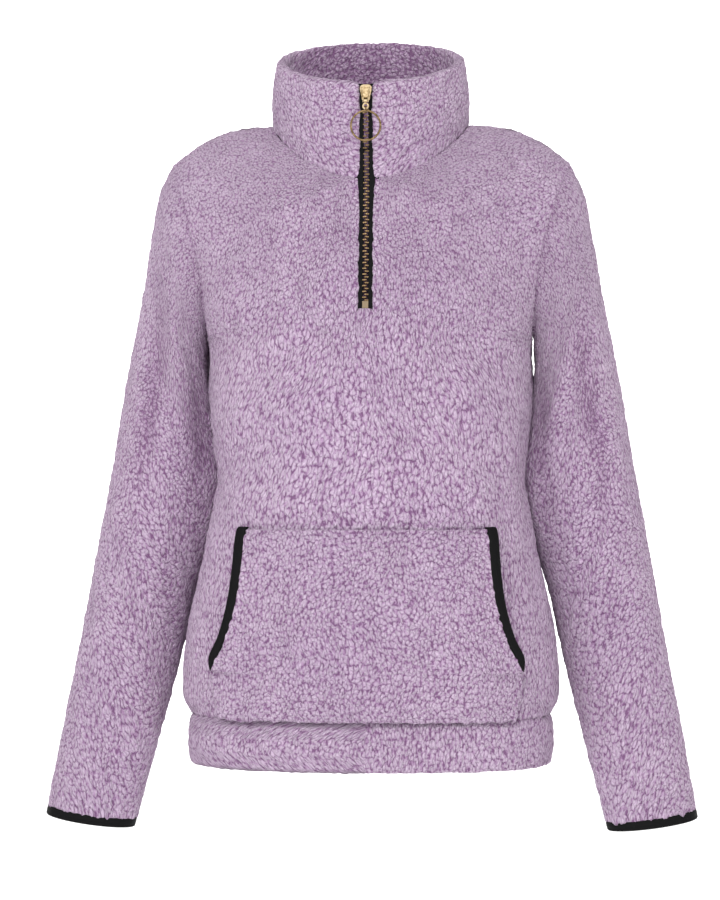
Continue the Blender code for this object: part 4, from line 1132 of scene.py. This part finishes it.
def hem_band():
    """The double band, from its seam down its outer side, round the fold and up inside."""
    count = whole_steps(0.25, 0.0019)
    halves = [evenly(body_row(BODY[0].height, side), count) for side in (-1, 1)]
    seam = np.concatenate([halves[0], halves[1][::-1][1:]])
    seam = np.concatenate([seam, (seam * [-1.0, 1.0, 1.0])[::-1][1:]])
    along = np.gradient(seam, axis=0)
    along[0] = along[-1] = (1.0, 0.0, 0.0)
    out = unit(np.stack([-along[:, 1], along[:, 0], np.zeros(len(seam))], axis=1))
    out *= np.sign((out * seam * [1, 1, 0]).sum(axis=1))[:, None]
    middle = (BAND_OUTER[-1].aside + BAND_INNER[0].aside) / 2
    profile = [(p.drop, p.aside) for p in BAND_OUTER]
    for turn in np.linspace(0.0, math.pi, 12)[1:-1]:
        profile.append((BAND_SIDE + BAND_ROUND * math.sin(turn), middle + BAND_ROUND * math.cos(turn)))
    profile += [(p.drop, p.aside) for p in BAND_INNER]
    profile = evenly(np.array(profile), whole_steps(0.115, 0.0019))
    grid = np.array([seam + out * aside - [0.0, 0.0, drop] for drop, aside in profile])
    grid[:, -1] = grid[:, 0]
    core = np.array([seam + out * middle - [0.0, 0.0, drop] for drop, _ in profile])
    around = run_length(grid, 1)
    up = run_length(grid, 0)
    curl = curl_places(around, -up, 0.0032, ((-0.2, 0.0056), (0.0, 0.0056)), 0.0, 877)
    patch = Patch(grid, core, around, -up, curl, 877)
    patch.edge("bottom", 0.0010, reach=0.0012, ragged=0.0006)
    patch.edge("top", 0.0015)
    made = folded("fur_hem_band", [patch], 0.0038, ((0, 0),), (PLUSH_LOOK,))
    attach(made, "garment")
    return made


def pocket():
    heights = np.linspace(POCKET[0].height, POCKET[-1].height, whole_steps(0.195, FINE_SMALL) + 1)
    columns = whole_steps(0.285, FINE_SMALL)
    half_width = through_rows(POCKET, heights)[:, 0]
    x = np.linspace(-1.0, 1.0, columns + 1)[None, :] * half_width[:, None]
    z = heights[:, None] * np.ones_like(x)
    here, normal = front_surface(x, z)
    grid = here + normal * (pocket_lift(x, z) + PLUSH)[..., None]
    wide = run_length(grid, 1)
    u, v = wide - wide[:, -1:] / 2, run_length(grid, 0)
    curl = curl_places(u, v, 0.0032, ((0.0, 0.0048), (0.2, 0.0046)), 0.0, 911)
    patch = Patch(grid, here - normal, u, v, curl, 911)
    patch.edge("bottom", 0.0012, reach=0.0022, ragged=0.0045, scale=0.009)
    patch.edge("top", 0.0024)
    from_top = v[-1:] - v
    wander = 0.0005 * waves(u, v, 0.012, 47)
    for far, deep in ((0.0016, 0.0018), (0.0068, 0.0022)):
        patch.dip = patch.dip + deep * np.exp(-((from_top - far - wander) / 0.0011) ** 2)
    for side in ("left", "right"):
        patch.edge(side, 0.0012, reach=0.0014, ragged=0.0026, scale=0.005)
    made = shell("fur_pocket", [patch], PLUSH - 0.0006, (PLUSH_LOOK, BACK_LOOK))
    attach(made, "garment")
    return made


front = body_panel("fur_front", -1, 101)
back = body_panel("fur_back", 1, 211)
(sleeve_right, sleeve_left), sleeve_points = sleeves()
neck = collar()
band = hem_band()
pouch = pocket()
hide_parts("front")
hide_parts("back")
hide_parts("sleeve_right")
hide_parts("sleeve_left")
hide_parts("collar")
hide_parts("hem_band")
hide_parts("pocket")


# Bindings.

def cuff_bindings():
    end, before = sleeve_points[-1][:-1], sleeve_points[-2][:-1]
    down = unit((end - before).mean(axis=0))
    round_end = np.roll(end, -1, axis=0) - np.roll(end, 1, axis=0)
    out = unit(np.cross(round_end, down))
    out *= np.sign((out * (end - end.mean(axis=0))).sum())
    low, thick = CUFF_BINDING_HEIGHT, BINDING_THICK
    profile = [
        (GAP, 0.0016), (0.0008, 0.0011), (0.0020, 0.0010), (0.0046, 0.0009), (0.0066, 0.0010),
        (0.0071, 0.0013), (0.0076, 0.0010), (low - 0.0008, 0.0012), (low - 0.0001, 0.0019),
        (low, 0.0027), (low - 0.0003, 0.0036), (low - 0.0018, thick + 0.0008),
        (0.0050, thick + 0.0010), (GAP, thick + 0.0010),
    ]
    wavy = waves(np.arange(len(end)) * 0.0022, np.zeros(len(end)), 0.02, 5) * 0.0002
    rings = [end + down * drop - out * (depth + wavy[:, None]) for drop, depth in profile]
    right = swept("binding_cuff_right", rings, (BINDING_LOOK,), closed=True)
    left = copy_across(right, "binding_cuff_left")
    for piece, node in ((right, "cuff_binding_right"), (left, "cuff_binding_left")):
        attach(piece, "garment")
        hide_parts(node)


def pocket_bindings():
    heights = np.linspace(POCKET_SIDE_SEAM_TOP, POCKET[-1].height, 70)
    table = through_rows(POCKET, heights)
    edge, end = table[:, 0] + GAP, table[:, 0] + np.maximum(table[:, 1], BINDING_TIP)
    lift = pocket_lift(table[:, 0], heights)
    near, far = lift + 0.0008, lift + PLUSH - 0.0006

    def at(x, height):
        here, normal = front_surface(x, heights)
        return here + normal * height[:, None]

    wide = end - edge
    middle = (near + far) / 2
    sections = np.stack([
        at(edge, near), at(edge, far - 0.0004), at(edge + wide * 0.2, far), at(edge + wide * 0.62, far),
        at(edge + wide * 0.70, far - 0.0004), at(edge + wide * 0.78, far),
        at(edge + wide * 0.93, far - 0.0002), at(end, middle + 0.0006), at(end, middle - 0.0006),
        at(edge + wide * 0.93, near), at(edge + wide * 0.5, near),
    ], axis=1)
    right = swept("binding_pocket_right", sections, (BINDING_LOOK,))
    left = copy_across(right, "binding_pocket_left")
    for piece, node in ((right, "pocket_binding_right"), (left, "pocket_binding_left")):
        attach(piece, "garment")
        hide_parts(node)


cuff_bindings()
pocket_bindings()


# Zip.

def zip_parts():
    line, out, _ = zip_line()
    heights = line[:, 2]
    side = np.array([1.0, 0.0, 0.0])

    def at(z):
        point = np.array([0.0] + [np.interp(z, heights, line[:, k]) for k in (1, 2)])
        facing = unit(np.array([0.0] + [np.interp(z, heights, out[:, k]) for k in (1, 2)]))
        return point, facing, np.cross(facing, side) * -1

    low = line[0, 2] + GAP
    high = heights[-1]
    for sign, name, node in ((1, "tape_right", "zip_tape_right"), (-1, "tape_left", "zip_tape_left")):
        sections = []
        for z in np.linspace(low, high, 120):
            point, facing, _ = at(z)
            across = ((0.0021, 0.0), (0.0034, 0.0), (0.0060, 0.0), (0.0084, 0.0004), (0.0122, 0.0016))
            near = [point + side * sign * x + facing * (0.0004 - deep) for x, deep in across]
            far = [point + side * sign * x - facing * (0.0004 + deep) for x, deep in across[::-1]]
            sections.append(near + far)
        tape = swept(name, sections, (TAPE_LOOK,))
        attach(tape, "garment")
        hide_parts(node)

    stop_low = low + STOP_FOOT
    stop_high = stop_low + STOP_HEIGHT
    chain_high = SLIDER_HEIGHT + CHAIN_IN_SLIDER
    pitch = TEETH_PITCH
    verts, faces = [], []
    z = stop_high + GAP + 0.0007
    turn = 0
    while z < chain_high - 0.0007:
        point, facing, up = at(z)
        sign = 1 if turn % 2 else -1
        # Stations across one tooth: where, half its height, how far it stands out and back.
        for x0, x1, tall0, tall1, deep0, deep1 in (
            (-0.0030, -0.0013, 0.00058, 0.00062, 0.0012, 0.0013),
            (-0.0013, 0.0004, 0.00068, 0.00066, 0.0018, 0.0019),
            (0.0004, 0.0012, 0.00060, 0.00042, 0.0018, 0.0012),
        ):
            start = len(verts)
            for x, tall, deep in ((x0, tall0, deep0), (x1, tall1, deep1)):
                for dz, dy in ((-1, -1), (1, -1), (1, 1), (-1, 1)):
                    corner = point + side * sign * x + up * dz * tall + facing * dy * deep
                    verts.append(corner.tolist())
            a = start
            ring = [(a, a + 1, a + 5, a + 4), (a + 1, a + 2, a + 6, a + 5), (a + 2, a + 3, a + 7, a + 6),
                    (a + 3, a, a + 4, a + 7), (a + 3, a + 2, a + 1, a), (a + 4, a + 5, a + 6, a + 7)]
            faces += ring if sign > 0 else [f[::-1] for f in ring]
        z += pitch / 2
        turn += 1
    mesh = bpy.data.meshes.new("teeth")
    mesh.from_pydata(verts, [], faces)
    teeth = link("teeth", mesh, (TEETH_LOOK,))
    bevel = teeth.modifiers.new("Worn edges", "BEVEL")
    bevel.width = 0.00012
    bevel.segments = 1
    bevel.limit_method = "ANGLE"
    mesh.shade_flat()
    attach(teeth, "garment")
    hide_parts("zip_chain")


zip_parts()


def torus(name, centre, first, second, radius, wire, count, sides):
    across = np.cross(first, second)
    sections = []
    for turn in np.linspace(0.0, 2 * math.pi, count, endpoint=False):
        spoke = np.array(first) * math.cos(turn) + np.array(second) * math.sin(turn)
        around = np.linspace(0.0, 2 * math.pi, sides, endpoint=False)
        sections.append([
            centre + spoke * (radius + wire * math.cos(a)) + across * wire * math.sin(a) for a in around
        ])
    return swept(name, sections, (BRASS_LOOK,), closed=True)


def pull_pieces():
    """The ring and the loop, rounder than their solids, in the same places."""
    side, out, up = np.identity(3)
    for name, node, first, second, wire in (
        ("round_ring", "pull_ring", side, up, 0.00095), ("round_loop", "pull_loop", out, up, 0.00045),
    ):
        low, high = (np.array(corner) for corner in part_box(node))
        radius = (high[2] - low[2]) / 2 - wire
        made = torus(name, (low + high) / 2, first, second, radius, wire, 96 if radius > 0.01 else 40, 16)
        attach(made, "pull_ring")
        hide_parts(node)


pull_pieces()
for node, look in (("zip_slider", BRASS_LOOK), ("pull_link", BRASS_LOOK), ("zip_bottom_stop", DARKER_BRASS_LOOK)):
    for slot in bpy.data.objects[node].material_slots:
        slot.material = look


# Stage, light and camera.

def stage():
    """A pale floor that curves up into a pale wall."""
    depth_points = [
        (-9.0, -0.86), (5.6, -0.86), (6.4, -0.80), (7.1, -0.55), (7.6, 0.0), (7.8, 0.9), (7.8, 6.0),
    ]
    verts, faces = [], []
    for y, z in depth_points:
        verts += [(-9.0, y, z), (9.0, y, z)]
    for i in range(len(depth_points) - 1):
        faces.append((2 * i, 2 * i + 1, 2 * i + 3, 2 * i + 2))
    mesh = bpy.data.meshes.new("backdrop")
    mesh.from_pydata(verts, [], faces)
    made, _, _, shader = new_material("backdrop")
    shader.inputs["Base Color"].default_value = (0.93, 0.93, 0.93, 1.0)
    shader.inputs["Roughness"].default_value = 0.9
    shader.inputs["Emission Color"].default_value = (1.0, 1.0, 1.0, 1.0)
    shader.inputs["Emission Strength"].default_value = 0.34
    floor = link("backdrop", mesh, (made,))
    step = floor.modifiers.new("Round", "SUBSURF")
    step.levels = step.render_levels = 3


def area_light(name, place, aim, size, power):
    data = bpy.data.lights.new(name, "AREA")
    data.shape = "RECTANGLE"
    data.size, data.size_y = size
    data.energy = power
    made = bpy.data.objects.new(name, data)
    bpy.context.scene.collection.objects.link(made)
    made.location = place
    from_to = np.array(aim) - np.array(place)
    pitch = math.atan2(math.hypot(from_to[0], from_to[1]), -from_to[2])
    made.rotation_euler = (pitch, 0.0, math.atan2(from_to[0], -from_to[1]) + math.pi)
    return made


def light_and_camera():
    world = bpy.data.worlds.new("studio")
    bpy.context.scene.world = world
    world.use_nodes = True
    background = world.node_tree.nodes["Background"]
    background.inputs["Color"].default_value = (1.0, 1.0, 1.0, 1.0)
    background.inputs["Strength"].default_value = 0.53
    area_light("key", (-0.5, -2.5, 1.5), (0.0, 0.0, -0.3), (1.3, 1.3), 50.0)
    area_light("fill", (1.9, -1.7, 0.4), (0.0, 0.0, -0.35), (1.2, 1.4), 14.0)
    area_light("fill_left", (-1.9, -1.7, 0.4), (0.0, 0.0, -0.35), (1.2, 1.4), 10.0)
    area_light("top", (0.0, -0.2, 2.2), (0.0, 0.0, -0.3), (1.6, 1.0), 7.0)
    area_light("wall", (0.0, 3.2, 3.2), (0.0, 7.8, 0.2), (6.0, 2.0), 420.0)
    data = bpy.data.cameras.new("camera")
    data.sensor_fit = "VERTICAL"
    data.sensor_height = 36.0
    data.lens = 104.0
    data.clip_end = 50.0
    camera = bpy.data.objects.new("camera", data)
    bpy.context.scene.collection.objects.link(camera)
    camera.location = (0.13, -2.6, -0.325)
    camera.rotation_euler = (math.pi / 2, 0.0, math.radians(3.100))
    bpy.context.scene.camera = camera
    bpy.context.scene.view_settings.view_transform = "Standard"


stage()
light_and_camera()
